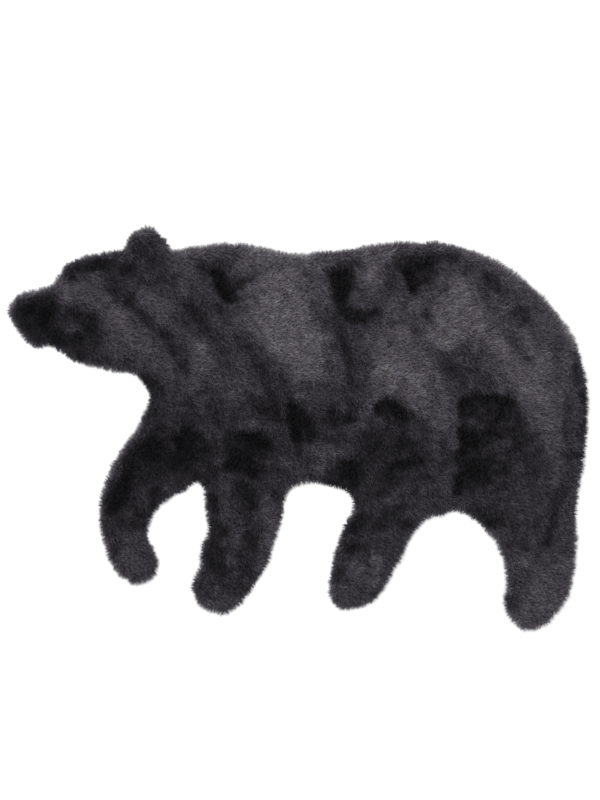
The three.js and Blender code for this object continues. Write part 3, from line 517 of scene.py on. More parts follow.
class Plan:
    """The rug's outline seen from above, as a smooth closed curve with many short sides.

    Attributes:
        span_steps: number of points of the rough curve between two control points.
        loop_share: share of an inset's depth below which a point counts as part of a loop.
    """

    span_steps: int = 20
    loop_share: float = 0.93

    def __init__(self, shape: dict[str, list[tuple[float, float]]], sides: int) -> None:
        """Builds the curve.

        Args:
            shape: control points by body part, millimetres, clockwise.
            sides: number of equal sides of the finished curve.
        """
        control = np.array([point for part in shape.values() for point in part], dtype=float)
        rough = self._through(control)
        lengths = np.linalg.norm(np.roll(rough, -1, axis=0) - rough, axis=1)
        reached = np.concatenate([[0.0], np.cumsum(lengths)])
        closed = np.vstack([rough, rough[:1]])
        wanted = np.linspace(0.0, reached[-1], sides, endpoint=False)
        self.points = np.column_stack([np.interp(wanted, reached, closed[:, axis]) for axis in (0, 1)])
        self.points -= np.array(PLAN_MIDDLE)
        step = np.roll(self.points, -1, axis=0) - np.roll(self.points, 1, axis=0)
        step /= np.linalg.norm(step, axis=1)[:, None]
        self.outward = np.column_stack([-step[:, 1], step[:, 0]])

    def _through(self, control: np.ndarray) -> np.ndarray:
        """Centripetal curve through the control points.

        Args:
            control: M by 2 array of points.

        Returns:
            M times span_steps points along the closed curve.
        """
        count = len(control)
        rows = []
        for i in range(count):
            quad = control[[(i - 1) % count, i, (i + 1) % count, (i + 2) % count]]
            gaps = np.sqrt(np.linalg.norm(np.diff(quad, axis=0), axis=1))
            knot = np.concatenate([[0.0], np.cumsum(gaps)])
            at = np.linspace(knot[1], knot[2], self.span_steps, endpoint=False)[:, None]
            level = list(quad)
            for order in (1, 2, 3):
                level = [self._blend(level[j], level[j + 1], knot, j, order, at) for j in range(len(level) - 1)]
            rows.append(level[0])
        return np.vstack(rows)

    @staticmethod
    def _blend(a: np.ndarray, b: np.ndarray, knot: np.ndarray, j: int, order: int, at: np.ndarray) -> np.ndarray:
        """One step of the curve's pyramid of blends between two knots."""
        low, high = (knot[1], knot[2]) if order == 3 else (knot[j], knot[j + order])
        return a * (high - at) / (high - low) + b * (at - low) / (high - low)

    def inset(self, depth: float) -> np.ndarray:
        """Outline pulled in by a distance, without the loops that tight corners would make.

        Args:
            depth: distance in millimetres.

        Returns:
            The inset outline's points.
        """
        moved = self.points - depth * self.outward
        distance, _ = self.nearest(moved)
        return moved[distance > depth * self.loop_share]

    def nearest(self, points: np.ndarray) -> tuple[np.ndarray, np.ndarray]:
        """Distance from each point to the outline, and the outward direction there.

        Args:
            points: N by 2 array in millimetres.

        Returns:
            N distances and N by 2 unit directions.
        """
        distance, closest = nearest_corners(points, self.points)
        return distance, self.outward[closest]

    @staticmethod
    def contains(ring: np.ndarray, points: np.ndarray) -> np.ndarray:
        """Whether each point lies inside a closed ring.

        Args:
            ring: the ring's corners, M by 2.
            points: N by 2 array.

        Returns:
            N booleans.
        """
        x, y = points[:, 0], points[:, 1]
        inside = np.zeros(len(points), dtype=bool)
        after = np.roll(ring, -1, axis=0)
        for (ax, ay), (bx, by) in zip(ring, after):
            if ay == by:
                continue
            crosses = (ay > y) != (by > y)
            inside ^= crosses & (x < ax + (y - ay) * (bx - ax) / (by - ay))
        return inside


@dataclass(frozen=True)
class PileShape:
    """The rise and fall of the pile over the plan.

    Attributes:
        thick: usual height of the pile's top, millimetres.
        lump_rise: height of the gentle lumps, millimetres.
        lump_long: lump size along X, millimetres.
        lump_short: lump size along Y, millimetres.
        lump_bend: distance over which the lumps wander, millimetres.
    """

    thick: float = 15.0
    lump_rise: float = 0.8
    lump_long: float = 33.0
    lump_short: float = 24.0
    lump_bend: float = 55.0

    def top(self, points: np.ndarray) -> np.ndarray:
        """Height of the pile's top.

        Args:
            points: N by 2 plan points in millimetres, centred on the plan.

        Returns:
            N heights in millimetres.
        """
        here = points + np.array(PLAN_MIDDLE)
        x, y = here[:, 0], here[:, 1]
        lumps = np.sin(x / self.lump_long + np.sin(y / self.lump_bend))
        lumps = lumps + np.sin(y / self.lump_short + np.sin(x / self.lump_bend))
        folds = sum(fold.amount * fold.weight(here) for fold in FOLDS.values())
        return self.thick + self.lump_rise * lumps + folds


@dataclass(frozen=True)
class Clouds:
    """A smooth random field over the plan, between -1 and 1.

    Attributes:
        size: distance over which it changes, millimetres.
        seed: seed of its random numbers.
        lattice: number of its knots along a side, after which it repeats.
    """

    size: float
    seed: int
    lattice: int = 256

    def at(self, points: np.ndarray) -> np.ndarray:
        """The field's value at each point.

        Args:
            points: N by 2 array in millimetres.

        Returns:
            N values.
        """
        knots = np.random.RandomState(self.seed).uniform(-1.0, 1.0, (self.lattice, self.lattice))
        place = points / self.size
        corner = np.floor(place).astype(int)
        share = place - corner
        share = share * share * (3 - 2 * share)
        value = np.zeros(len(points))
        for dx in (0, 1):
            for dy in (0, 1):
                knot = knots[(corner[:, 0] + dx) % self.lattice, (corner[:, 1] + dy) % self.lattice]
                across = share[:, 0] if dx else 1 - share[:, 0]
                along = share[:, 1] if dy else 1 - share[:, 1]
                value += knot * across * along
        return value


@dataclass(frozen=True)
class NapField:
    """Which way the hairs lie, how far they lean and how light they look, over the plan; their lightness is painted
    sheen and shade in the colour.

    Attributes:
        flow: degrees of the usual lie of the nap in the plan, anticlockwise from the tail's direction.
        turn_by_tone: further turn for each stop of lightness, degrees.
        lean: usual lean of the hairs from upright, degrees.
        lean_by_tone: further lean for each stop of lightness, degrees.
        rim_lean: lean at the rim, degrees.
        rim_reach: distance from the rim over which hairs turn outwards, millimetres.
        rim_turn: how strongly they do, against the nap's own lie.
        dark_depth: how much deeper the painted shade of the pressed nap is than its strokes say.
        fringe: extra lightness of the outermost tips, in stops: partly their own paler colour, partly painted
            highlight.
        fringe_light: how much lighter still they are where they face the tail, and the back, in stops: a painted
            highlight that follows which way the rim faces the light.
        fringe_start: distance from the rim at which the outermost locks stand, millimetres.
        fringe_reach: distance over which that lightness fades, and how much longer it is at the back, millimetres.
        fringe_most: greatest lightness of the tips, in stops.
        stray: sizes and strengths of the clouds that make the strokes' edges uneven, millimetres.
        stray_seed: seed of the first of those clouds.
        mottle: sizes, millimetres, and strengths, stops, of the unevenness within the strokes.
        mottle_seed: seed of its first cloud.
    """

    flow: float = -40.0
    turn_by_tone: float = 30.0
    lean: float = 34.0
    lean_by_tone: float = 9.0
    rim_lean: float = 74.0
    rim_reach: float = 12.0
    rim_turn: float = 2.0
    dark_depth: float = 1.28
    fringe: float = 1.65
    fringe_light: tuple[float, float] = (-0.7, 0.45)
    fringe_start: float = 4.5
    fringe_reach: tuple[float, float] = (6.0, 6.0)
    fringe_most: float = 2.3
    stray: tuple[tuple[float, float], ...] = ((26.0, 2.0), (9.0, 2.5))
    stray_seed: int = 40
    mottle: tuple[tuple[float, float], ...] = ((24.0, 0.15), (10.0, 0.3), (4.5, 0.4))
    mottle_seed: int = 60

    def tone(self, points: np.ndarray, plan: Plan) -> np.ndarray:
        """Lightness of the nap: painted sheen and shade, and at the rim paler tips with a painted highlight.

        Args:
            points: N by 2 plan points in millimetres, centred on the plan.
            plan: the rug's outline.

        Returns:
            N values in stops from the middle tone.
        """
        here = points + np.array(PLAN_MIDDLE)
        strayed = here.copy()
        for number, (size, strength) in enumerate(self.stray):
            for axis in (0, 1):
                strayed[:, axis] += strength * Clouds(size, self.stray_seed + 2 * number + axis).at(here)
        stops = np.zeros(len(here))
        # Painted sheen and shade, laid stroke over stroke
        for group in NAP.values():
            for stroke in group:
                stops += (stroke.amount - stops) * stroke.weight(strayed)
        for number, (size, strength) in enumerate(self.mottle):
            stops += strength * Clouds(size, self.mottle_seed + number).at(here)
        stops = np.where(stops < 0, stops * self.dark_depth, stops)
        # At the rim: the tips' paler colour and a painted highlight that depends on which way the rim faces
        distance, outward = plan.nearest(points)
        fade = self.fringe_reach[0] + self.fringe_reach[1] * np.clip(outward[:, 1], 0, 1) ** 2
        glow = self.fringe + outward @ np.array(self.fringe_light)
        for stroke in FRINGE:
            glow += (stroke.amount - glow) * stroke.weight(here)
        glow *= np.exp(-np.clip(distance - self.fringe_start, 0, None) / fade)
        return np.minimum(stops + glow, self.fringe_most)

    def at(self, points: np.ndarray, plan: Plan) -> dict[str, np.ndarray]:
        """Works the field out.

        Args:
            points: N by 2 plan points in millimetres, centred on the plan.
            plan: the rug's outline.

        Returns:
            Arrays named nap (N by 3), lean (radians) and tone (a factor of painted sheen and shade).
        """
        stops = self.tone(points, plan)
        turn = np.radians(self.flow + self.turn_by_tone * stops)
        distance, outward = plan.nearest(points)
        rim = np.exp(-((distance / self.rim_reach) ** 2))
        flat = np.column_stack([np.cos(turn), np.sin(turn)]) * (1 - rim)[:, None]
        flat += outward * (self.rim_turn * rim)[:, None]
        flat /= np.linalg.norm(flat, axis=1)[:, None]
        lean = np.radians((self.lean + self.lean_by_tone * stops) * (1 - rim) + self.rim_lean * rim)
        return {"nap": np.column_stack([flat, np.zeros(len(flat))]), "lean": lean, "tone": np.exp2(stops)}


class NodeBench:
    """Adds nodes to a tree and links them, to keep the trees below short.

    Attributes:
        column_wide: distance between two nodes in the editor.
    """

    column_wide: int = 180

    def __init__(self, tree: bpy.types.NodeTree) -> None:
        """Takes the tree to build in."""
        self.tree = tree
        self.column = 0

    def add(self, kind: str, inputs: dict[str | int, object] | None = None, **settings: object) -> bpy.types.Node:
        """Adds one node.

        Args:
            kind: the node's type name.
            inputs: values or output sockets by input name or number.
            settings: properties of the node itself.

        Returns:
            The new node.
        """
        node = self.tree.nodes.new(kind)
        node.location = (self.column * self.column_wide, 0)
        self.column += 1
        for name, value in settings.items():
            setattr(node, name, value)
        self.feed(node, inputs or {})
        return node

    def feed(self, node: bpy.types.Node, inputs: dict[str | int, object]) -> None:
        """Gives a node its inputs.

        Args:
            node: the node.
            inputs: values or output sockets by input name or number.
        """
        for key, value in inputs.items():
            if isinstance(value, bpy.types.NodeSocket):
                self.tree.links.new(value, node.inputs[key])
            else:
                node.inputs[key].default_value = value

    def maths(self, operation: str, *values: object) -> bpy.types.NodeSocket:
        """A Math node on one or two values, and its output."""
        return self.add("ShaderNodeMath", dict(enumerate(values)), operation=operation).outputs[0]

    def vector(self, operation: str, *values: object) -> bpy.types.NodeSocket:
        """A Vector Math node, and its first output."""
        keys = (0, "Scale") if operation == "SCALE" else range(len(values))
        return self.add("ShaderNodeVectorMath", dict(zip(keys, values)), operation=operation).outputs[0]

    def joined(self, **parts: object) -> bpy.types.NodeSocket:
        """A vector of the parts X, Y and Z that are given."""
        return self.add("ShaderNodeCombineXYZ", parts).outputs[0]


def stored(mesh: bpy.types.Mesh, name: str, values: np.ndarray) -> None:
    """Stores numbers or vectors on a mesh's points.

    Args:
        mesh: the mesh.
        name: the attribute's name, which may be there already.
        values: N numbers, or N by 3.
    """
    is_vector = values.ndim == 2
    layer = mesh.attributes.get(name) or mesh.attributes.new(name, "FLOAT_VECTOR" if is_vector else "FLOAT", "POINT")
    layer.data.foreach_set("vector" if is_vector else "value", values.astype(np.float32).ravel())


def read(mesh: bpy.types.Mesh, name: str) -> np.ndarray:
    """Reads what a mesh's points hold under a name.

    Args:
        mesh: the mesh.
        name: the attribute's name.

    Returns:
        N numbers, or N by 3.
    """
    layer = mesh.attributes[name]
    is_vector = layer.data_type == "FLOAT_VECTOR"
    values = np.empty(len(mesh.vertices) * (3 if is_vector else 1), dtype=np.float32)
    layer.data.foreach_get("vector" if is_vector else "value", values)
    return values.reshape(-1, 3) if is_vector else values


class LockForm(Enum):
    """The forms that a lock of hairs takes: how far its tip bends over, in widths, and its rings' heights."""

    FINE = (0.5, (0.0,))
    SLANTED = (1.3, (0.0,))
    BENT = (2.2, (0.0, 0.5))

    def mesh(self) -> bpy.types.Mesh:
        """One lock, a unit high and wide, with its own strip map.

        Returns:
            A mesh with the UV map named strip and the point attribute along.
        """
        bend, heights = self.value
        points, faces, strips = [], [], []
        for height in heights:
            radius, shift = LOCK_RADIUS * (1 - LOCK_TAPER * height), bend * height * height
            for side in range(LOCK_SIDES):
                angle = math.radians(90 + 360 // LOCK_SIDES * side)
                points.append((shift + radius * math.cos(angle), radius * math.sin(angle), height))
        points.append((bend, 0.0, 1.0))
        tip = len(points) - 1
        for side in range(LOCK_SIDES):
            after = (side + 1) % LOCK_SIDES
            left, middle, right = ((side + share) / LOCK_SIDES for share in (0, 0.5, 1))
            for level, (low, high) in enumerate(zip(heights[:-1], heights[1:])):
                under, over = LOCK_SIDES * level, LOCK_SIDES * (level + 1)
                faces.append((under + side, under + after, over + after, over + side))
                strips += [(left, low), (right, low), (right, high), (left, high)]
            faces.append((tip - LOCK_SIDES + side, tip - LOCK_SIDES + after, tip))
            strips += [(left, heights[-1]), (right, heights[-1]), (middle, 1.0)]
        mesh = bpy.data.meshes.new(f"lock {self.name.lower()}")
        mesh.from_pydata(points, [], faces)
        strip_map = mesh.uv_layers.new(name="strip")
        strip_map.data.foreach_set("uv", np.array(strips, dtype=np.float32).ravel())
        stored(mesh, "along", np.array([point[2] for point in points]))
        return mesh


class Chance(Enum):
    """The independent series of random numbers that the locks draw from."""

    SWING = 1
    NOD = 2
    SHADE = 3
    WIDTH = 4
    LENGTH = 5
    FORM = 11

    @property
    def offset(self) -> float:
        """What the series adds to the tree's seed."""
        return self.value * SEED_STEP


@dataclass(frozen=True)
class LockTree:
    """Geometry Nodes that stand locks of hairs all over a surface, leaning with the nap.

    Attributes:
        name: the tree's name.
        crowd: limit of the roots per square metre, far above what their spacing lets stand.
        widths: least and greatest width of a lock, as shares of the usual one.
        lengths: least and greatest length, likewise.
        nod: how far a lock's lean strays, as a share of how far its direction does.
        lift: least height of a hair above the floor, metres.
        cell_share: share of its cell of the UV map that a lock fills, along each side.
    """

    name: str = "plush locks"
    crowd: float = 1e6
    widths: tuple[float, float] = (0.75, 1.3)
    lengths: tuple[float, float] = (0.78, 1.1)
    nod: float = 0.45
    lift: float = 0.0004
    cell_share: float = 0.8

    def build(self) -> bpy.types.NodeTree:
        """Builds the tree.

        Returns:
            The tree, whose named inputs are the locks and their sizes.
        """
        tree = bpy.data.node_groups.new(self.name, "GeometryNodeTree")
        sockets = {
            "Geometry": "Geometry", "Locks": "Collection", "Spacing": "Float", "Length": "Float", "Width": "Float",
            "Tuft": "Float", "Unruly": "Float", "Cells": "Float", "Seed": "Int", "Finish": "Material",
        }
        for name, kind in sockets.items():
            tree.interface.new_socket(name, in_out="INPUT", socket_type=f"NodeSocket{kind}")
        tree.interface.new_socket("Geometry", in_out="OUTPUT", socket_type="NodeSocketGeometry")
        bench = NodeBench(tree)
        given = bench.add("NodeGroupInput").outputs
        roots = bench.add(
            "GeometryNodeDistributePointsOnFaces",
            {
                "Mesh": given["Geometry"], "Distance Min": given["Spacing"], "Density Max": self.crowd,
                "Seed": given["Seed"],
            },
            distribute_method="POISSON",
        )
        marked = self._marked(bench, roots.outputs["Points"], given)
        turned = self._turned(bench, given)
        sized = self._sized(bench, given)
        locks = bench.add(
            "GeometryNodeCollectionInfo",
            {"Collection": given["Locks"], "Separate Children": True, "Reset Children": True},
        )
        form = self._chance(bench, (0.0, len(LockForm) - 0.01), Chance.FORM, given["Seed"])
        placed = bench.add(
            "GeometryNodeInstanceOnPoints",
            {
                "Points": marked, "Instance": locks.outputs[0], "Pick Instance": True, "Instance Index": form,
                "Rotation": turned, "Scale": sized,
            },
        )
        real = bench.add("GeometryNodeRealizeInstances", {"Geometry": placed.outputs[0]})
        above = self._lifted(bench)
        resting = bench.add("GeometryNodeSetPosition", {"Geometry": real.outputs[0], "Position": above})
        mapped = self._mapped(bench, resting.outputs[0], given)
        smooth = bench.add("GeometryNodeSetShadeSmooth", {0: mapped})
        finished = bench.add("GeometryNodeSetMaterial", {"Geometry": smooth.outputs[0], "Material": given["Finish"]})
        bench.add("NodeGroupOutput", {"Geometry": finished.outputs[0]})
        return tree

    @staticmethod
    def _chance(
        bench: NodeBench, span: tuple[float, float], chance: Chance, seed: bpy.types.NodeSocket
    ) -> bpy.types.NodeSocket:
        """A random number for each root.

        Args:
            bench: where nodes are added.
            span: least and greatest value.
            chance: which of the independent series to draw from.
            seed: the tree's seed socket.

        Returns:
            The socket with the numbers.
        """
        mixed = bench.maths("ADD", seed, chance.offset)
        node = bench.add("FunctionNodeRandomValue", data_type="FLOAT")
        ends = [socket for socket in node.inputs if socket.type == "VALUE" and socket.enabled]
        for end, value in zip(ends, span):
            end.default_value = value
        bench.feed(node, {"Seed": mixed})
        return next(socket for socket in node.outputs if socket.type == "VALUE" and socket.enabled)

    @staticmethod
    def _named(bench: NodeBench, name: str, kind: str = "FLOAT") -> bpy.types.NodeSocket:
        """Reads a named attribute of the roots."""
        node = bench.add("GeometryNodeInputNamedAttribute", {"Name": name}, data_type=kind)
        return next(socket for socket in node.outputs if socket.enabled and socket.name == "Attribute")

    @staticmethod
    def _kept(
        bench: NodeBench,
        geometry: bpy.types.NodeSocket,
        name: str,
        value: bpy.types.NodeSocket,
        kind: str = "FLOAT",
        domain: str = "POINT",
    ) -> bpy.types.NodeSocket:
        """Stores a named attribute.

        Args:
            bench: where nodes are added.
            geometry: what it is stored on.
            name: its name.
            value: its values.
            kind: its data type.
            domain: whether points or corners hold it.

        Returns:
            The geometry that holds it.
        """
        inputs = {"Geometry": geometry, "Name": name, "Value": value}
        return bench.add("GeometryNodeStoreNamedAttribute", inputs, data_type=kind, domain=domain).outputs[0]

    @staticmethod
    def _place(bench: NodeBench) -> bpy.types.NodeSocket:
        """Where each point is."""
        return bench.add("GeometryNodeInputPosition").outputs[0]

    def _lifted(self, bench: NodeBench) -> bpy.types.NodeSocket:
        """Each point's place, or the least height over that spot."""
        anywhere = -10.0
        return bench.vector("MAXIMUM", self._place(bench), (anywhere, anywhere, self.lift))

    def _marked(
        self, bench: NodeBench, roots: bpy.types.NodeSocket, given: bpy.types.NodeOutputs
    ) -> bpy.types.NodeSocket:
        """Numbers the roots, and gives each a shade of its own and a note of its place.

        Args:
            bench: where nodes are added.
            roots: the root points.
            given: the tree's inputs.

        Returns:
            The marked points.
        """
        numbered = self._kept(bench, roots, "cell", bench.add("GeometryNodeInputIndex").outputs[0])
        shade = self._chance(bench, (0.0, 1.0), Chance.SHADE, given["Seed"])
        shaded = self._kept(bench, numbered, "shade", shade)
        return self._kept(bench, shaded, "rooted", self._place(bench), "FLOAT_VECTOR")

    def _turned(self, bench: NodeBench, given: bpy.types.NodeOutputs) -> bpy.types.NodeSocket:
        """Rotation that leans each lock with the nap, and a little towards the middle of its tuft.

        Args:
            bench: where nodes are added.
            given: the tree's inputs.

        Returns:
            The rotation socket.
        """
        stray = self._chance(bench, (-1.0, 1.0), Chance.SWING, given["Seed"])
        swing = bench.maths("MULTIPLY", stray, given["Unruly"])
        stray = self._chance(bench, (-self.nod, self.nod), Chance.NOD, given["Seed"])
        nod = bench.maths("MULTIPLY", stray, given["Unruly"])
        nap = bench.add(
            "ShaderNodeVectorRotate",
            {"Vector": self._named(bench, "nap", "FLOAT_VECTOR"), "Angle": swing},
            rotation_type="Z_AXIS",
        ).outputs[0]
        lean = bench.maths("ADD", self._named(bench, "lean"), nod)
        sideways = bench.vector("SCALE", nap, bench.maths("SINE", lean))
        upwards = bench.joined(Z=bench.maths("COSINE", lean))
        place = self._place(bench)
        tufts = bench.add(
            "ShaderNodeTexVoronoi",
            {"Vector": place, "Scale": bench.maths("DIVIDE", 1.0, given["Tuft"]), "Randomness": 1.0},
            voronoi_dimensions="2D",
        )
        to_middle = bench.vector("SUBTRACT", tufts.outputs["Position"], place)
        level = bench.vector("MULTIPLY", to_middle, (1.0, 1.0, 0.0))
        pull = bench.vector("SCALE", level, bench.maths("DIVIDE", self._named(bench, "gather"), given["Length"]))
        lie = bench.vector("ADD", bench.vector("ADD", sideways, upwards), pull)
        turned = bench.add(
            "FunctionNodeAxesToRotation",
            {"Primary Axis": lie, "Secondary Axis": nap},
            primary_axis="Z", secondary_axis="X",
        )
        return turned.outputs[0]

    def _sized(self, bench: NodeBench, given: bpy.types.NodeOutputs) -> bpy.types.NodeSocket:
        """Uneven lengths and widths.

        Args:
            bench: where nodes are added.
            given: the tree's inputs.

        Returns:
            The scale socket.
        """
        wide = bench.maths("MULTIPLY", self._chance(bench, self.widths, Chance.WIDTH, given["Seed"]), given["Width"])
        share = self._chance(bench, self.lengths, Chance.LENGTH, given["Seed"])
        high = bench.maths("MULTIPLY", share, given["Length"])
        return bench.joined(X=wide, Y=wide, Z=bench.maths("MULTIPLY", high, self._named(bench, "reach")))

    def _mapped(
        self, bench: NodeBench, locks: bpy.types.NodeSocket, given: bpy.types.NodeOutputs
    ) -> bpy.types.NodeSocket:
        """Gives each lock a cell of its own in the piece's UV map.

        Args:
            bench: where nodes are added.
            locks: the locks as real mesh.
            given: the tree's inputs.

        Returns:
            The mapped geometry.
        """
        cells, half_cell = given["Cells"], 0.5
        cell = self._named(bench, "cell")
        row = bench.maths("FLOOR", bench.maths("DIVIDE", bench.maths("ADD", cell, half_cell), cells))
        column = bench.maths("SUBTRACT", cell, bench.maths("MULTIPLY", row, cells))
        share, margin = (self.cell_share,) * 3, ((1 - self.cell_share) / 2,) * 3
        strip = bench.vector("MULTIPLY_ADD", self._named(bench, "strip", "FLOAT_VECTOR"), share, margin)
        in_cells = bench.vector("ADD", bench.joined(X=column, Y=row), strip)
        spot = bench.vector("SCALE", in_cells, bench.maths("DIVIDE", 1.0, cells))
        return self._kept(bench, locks, "OFBake", spot, "FLOAT2", "CORNER")


@dataclass(frozen=True)
class Mottle:
    """Shader group: soft blotches of lightness in three sizes, the way light plays on a brushed nap.

    Attributes:
        name: the group's name.
        sizes: scale and detail of the noise by the size of blotch that it makes.
        rough: how rough the noise is.
        usual: strength of each size where a material gives none.
    """

    name: str = "nap mottle"
    sizes: tuple[tuple[str, float, float], ...] = (("Broad", 22.0, 2.0), ("Middling", 75.0, 2.0), ("Fine", 420.0, 3.0))
    rough: float = 0.55
    usual: float = 0.2

    def build(self) -> bpy.types.NodeTree:
        """Builds the group.

        Returns:
            The group, with the output Factor about 1.
        """
        tree = bpy.data.node_groups.new(self.name, "ShaderNodeTree")
        for label, *_ in self.sizes:
            tree.interface.new_socket(label, in_out="INPUT", socket_type="NodeSocketFloat").default_value = self.usual
        tree.interface.new_socket("Factor", in_out="OUTPUT", socket_type="NodeSocketFloat")
        bench = NodeBench(tree)
        given = bench.add("NodeGroupInput").outputs
        place = bench.add("ShaderNodeTexCoord").outputs["Object"]
        factor: bpy.types.NodeSocket | float = 1.0
        for label, scale, detail in self.sizes:
            noise = bench.add(
                "ShaderNodeTexNoise", {"Vector": place, "Scale": scale, "Detail": detail, "Roughness": self.rough}
            ).outputs["Fac"]
            middle = 0.5
            swing = bench.maths("MULTIPLY", bench.maths("SUBTRACT", noise, middle), given[label])
            factor = bench.maths("MULTIPLY", factor, bench.maths("ADD", bench.maths("MULTIPLY", swing, 2.0), 1.0))
        bench.add("NodeGroupOutput", {"Factor": factor})
        return tree


@dataclass(frozen=True)
class Blotches:
    """How strongly a finish shows each size of the mottle.

    Attributes:
        broad: strength of hand-sized blotches.
        middling: strength of finger-sized blotches.
        fine: strength of hair-sized flecks.
    """

    broad: float
    middling: float
    fine: float


@dataclass(frozen=True)
class Relief:
    """The fine relief of hairs.

    Attributes:
        scale: how close the hairs are, per metre.
        detail: detail of their noise.
        strength: how much of the relief shows.
        height: height of the relief, millimetres.
    """

    scale: float
    detail: float
    strength: float
    height: float


class FinishBench(NodeBench):
    """A new material, and the steps that its nodes share with other finishes."""

    def __init__(self, name: str) -> None:
        """Starts the material.

        Args:
            name: its name.
        """
        self.material = bpy.data.materials.new(name)
        self.material.use_nodes = True
        super().__init__(self.material.node_tree)

    def layer(self, name: str) -> bpy.types.NodeSocket:
        """The numbers of a named attribute."""
        return self.add("ShaderNodeAttribute", attribute_name=name).outputs["Fac"]

    def place(self) -> bpy.types.NodeSocket:
        """The place on the piece, metres."""
        return self.add("ShaderNodeTexCoord").outputs["Object"]

    def noise(self, scale: float, detail: float) -> bpy.types.NodeSocket:
        """Noise over the piece."""
        return self.add("ShaderNodeTexNoise", {"Vector": self.place(), "Scale": scale, "Detail": detail}).outputs["Fac"]

    def mixed(self, share: bpy.types.NodeSocket, first: object, second: object) -> bpy.types.NodeSocket:
        """Mixes two colours.

        Args:
            share: share of the second.
            first: a linear colour, or a socket.
            second: likewise.

        Returns:
            The mixed colour.
        """
        mix = self.add("ShaderNodeMix", {"Factor": share}, data_type="RGBA")
        ends = [socket for socket in mix.inputs if socket.type == "RGBA"]
        for end, colour in zip(ends, (first, second)):
            if isinstance(colour, tuple):
                end.default_value = (*colour, 1.0)
            else:
                self.tree.links.new(colour, end)
        return next(socket for socket in mix.outputs if socket.type == "RGBA")

    def blotched(self, mottle: bpy.types.NodeTree, blotches: Blotches) -> bpy.types.NodeSocket:
        """The mottle's factor, with a finish's own strengths."""
        strengths = {"Broad": blotches.broad, "Middling": blotches.middling, "Fine": blotches.fine}
        return self.add("ShaderNodeGroup", strengths, node_tree=mottle).outputs["Factor"]

    def raised(self, height: bpy.types.NodeSocket, strength: float, distance: float) -> bpy.types.NodeSocket:
        """The normal over a relief whose distance is in millimetres."""
        bump = self.add("ShaderNodeBump", {"Height": height, "Strength": strength, "Distance": distance * MM})
        return bump.outputs[0]

    def hairy(self, relief: Relief) -> bpy.types.NodeSocket:
        """The normal over the relief of hairs."""
        return self.raised(self.noise(relief.scale, relief.detail), relief.strength, relief.height)

    def finished(self, looks: dict[str, object]) -> bpy.types.Material:
        """Feeds the shader, and gives the material."""
        self.feed(self.tree.nodes["Principled BSDF"], looks)
        return self.material


@dataclass(frozen=True)
class PlushFinish:
    """Charcoal plush hair: darker at the root, paler at the tip, with uneven dye from lock to lock, and painted sheen
    and shade from the nap's lightness in its colour.

    Attributes:
        name: the material's name.
        root: linear colour at the root.
        tip: linear colour at the tip.
        highlight_tip: linear colour that the tips take where the painted highlight is strongest, a neutral grey without
            the dye's violet.
        highlight_tones: tones from which and by which the tips take that colour of painted highlight.
        rise: how late along the hair the root's colour gives way to the tip's.
        least_shade: shade of the darkest lock beside its neighbours; the palest has one more.
        roughness: least and greatest, of the hair.
        sheen: strength and roughness of the velvety edge light.
        gloss: specular level.
        blotches: how strongly it shows the mottle.
        relief: single hairs.
    """

    name: str = "charcoal plush"
    root: tuple[float, float, float] = (0.0128, 0.011, 0.0133)
    tip: tuple[float, float, float] = (0.107, 0.1, 0.1178)
    highlight_tip: tuple[float, float, float] = (0.1035, 0.102, 0.1035)
    highlight_tones: tuple[float, float] = (2.9, 4.0)
    rise: float = 1.3
    least_shade: float = 0.51
    roughness: tuple[float, float] = (0.64, 0.82)
    sheen: tuple[float, float] = (0.04, 0.45)
    gloss: float = 0.08
    blotches: Blotches = Blotches(0.22, 0.22, 0.36)
    relief: Relief = Relief(1500.0, 2.0, 0.5, 0.6)

    def build(self, mottle: bpy.types.NodeTree) -> bpy.types.Material:
        """Builds the material.

        Args:
            mottle: the group of blotches.

        Returns:
            The material.
        """
        bench = FinishBench(self.name)
        tone, shade = bench.layer("tone"), bench.layer("shade")
        # Where the painted highlight is strongest, the tips turn from the dye's violet to a neutral grey
        pale = bench.add("ShaderNodeMapRange", {"Value": tone, "From Min": self.highlight_tones[0], "From Max": self.highlight_tones[1]})
        tip = bench.mixed(pale.outputs[0], self.tip, self.highlight_tip)
        colour = bench.mixed(bench.maths("POWER", bench.layer("along"), self.rise), self.root, tip)
        # The tone attribute is the nap's painted sheen and shade; the shade attribute is each lock's own random dye
        own = bench.maths("MULTIPLY", tone, bench.maths("ADD", shade, self.least_shade))
        factor = bench.maths("MULTIPLY", own, bench.blotched(mottle, self.blotches))
        low, high = self.roughness
        rough = bench.add("ShaderNodeMapRange", {"Value": shade, "To Min": low, "To Max": high})
        return bench.finished({
            "Base Color": bench.vector("SCALE", colour, factor),
            "Roughness": rough.outputs[0],
            "Normal": bench.hairy(self.relief),
            "Sheen Weight": self.sheen[0],
            "Sheen Roughness": self.sheen[1],
            "Specular IOR Level": self.gloss,
        })


@dataclass(frozen=True)
class UndercoatFinish:
    """The dense dark undercoat between the locks, with the nap's painted sheen and shade in its colour.

    Attributes:
        name: the material's name.
        colour: linear colour.
        roughness: of the short hairs.
        gloss: specular level.
        blotches: how strongly it shows the mottle.
        relief: the short hairs.
    """

    name: str = "plush undercoat"
    colour: tuple[float, float, float] = (0.02, 0.0185, 0.0215)
    roughness: float = 0.95
    gloss: float = 0.1
    blotches: Blotches = Blotches(0.15, 0.3, 0.7)
    relief: Relief = Relief(700.0, 4.0, 1.0, 2.0)

    def build(self, mottle: bpy.types.NodeTree) -> bpy.types.Material:
        """Builds the material.

        Args:
            mottle: the group of blotches.

        Returns:
            The material.
        """
        bench = FinishBench(self.name)
        # The tone attribute is the nap's painted sheen and shade
        factor = bench.maths("MULTIPLY", bench.layer("tone"), bench.blotched(mottle, self.blotches))
        return bench.finished({
            "Base Color": bench.vector("SCALE", self.colour, factor),
            "Normal": bench.hairy(self.relief),
            "Roughness": self.roughness,
            "Specular IOR Level": self.gloss,
        })


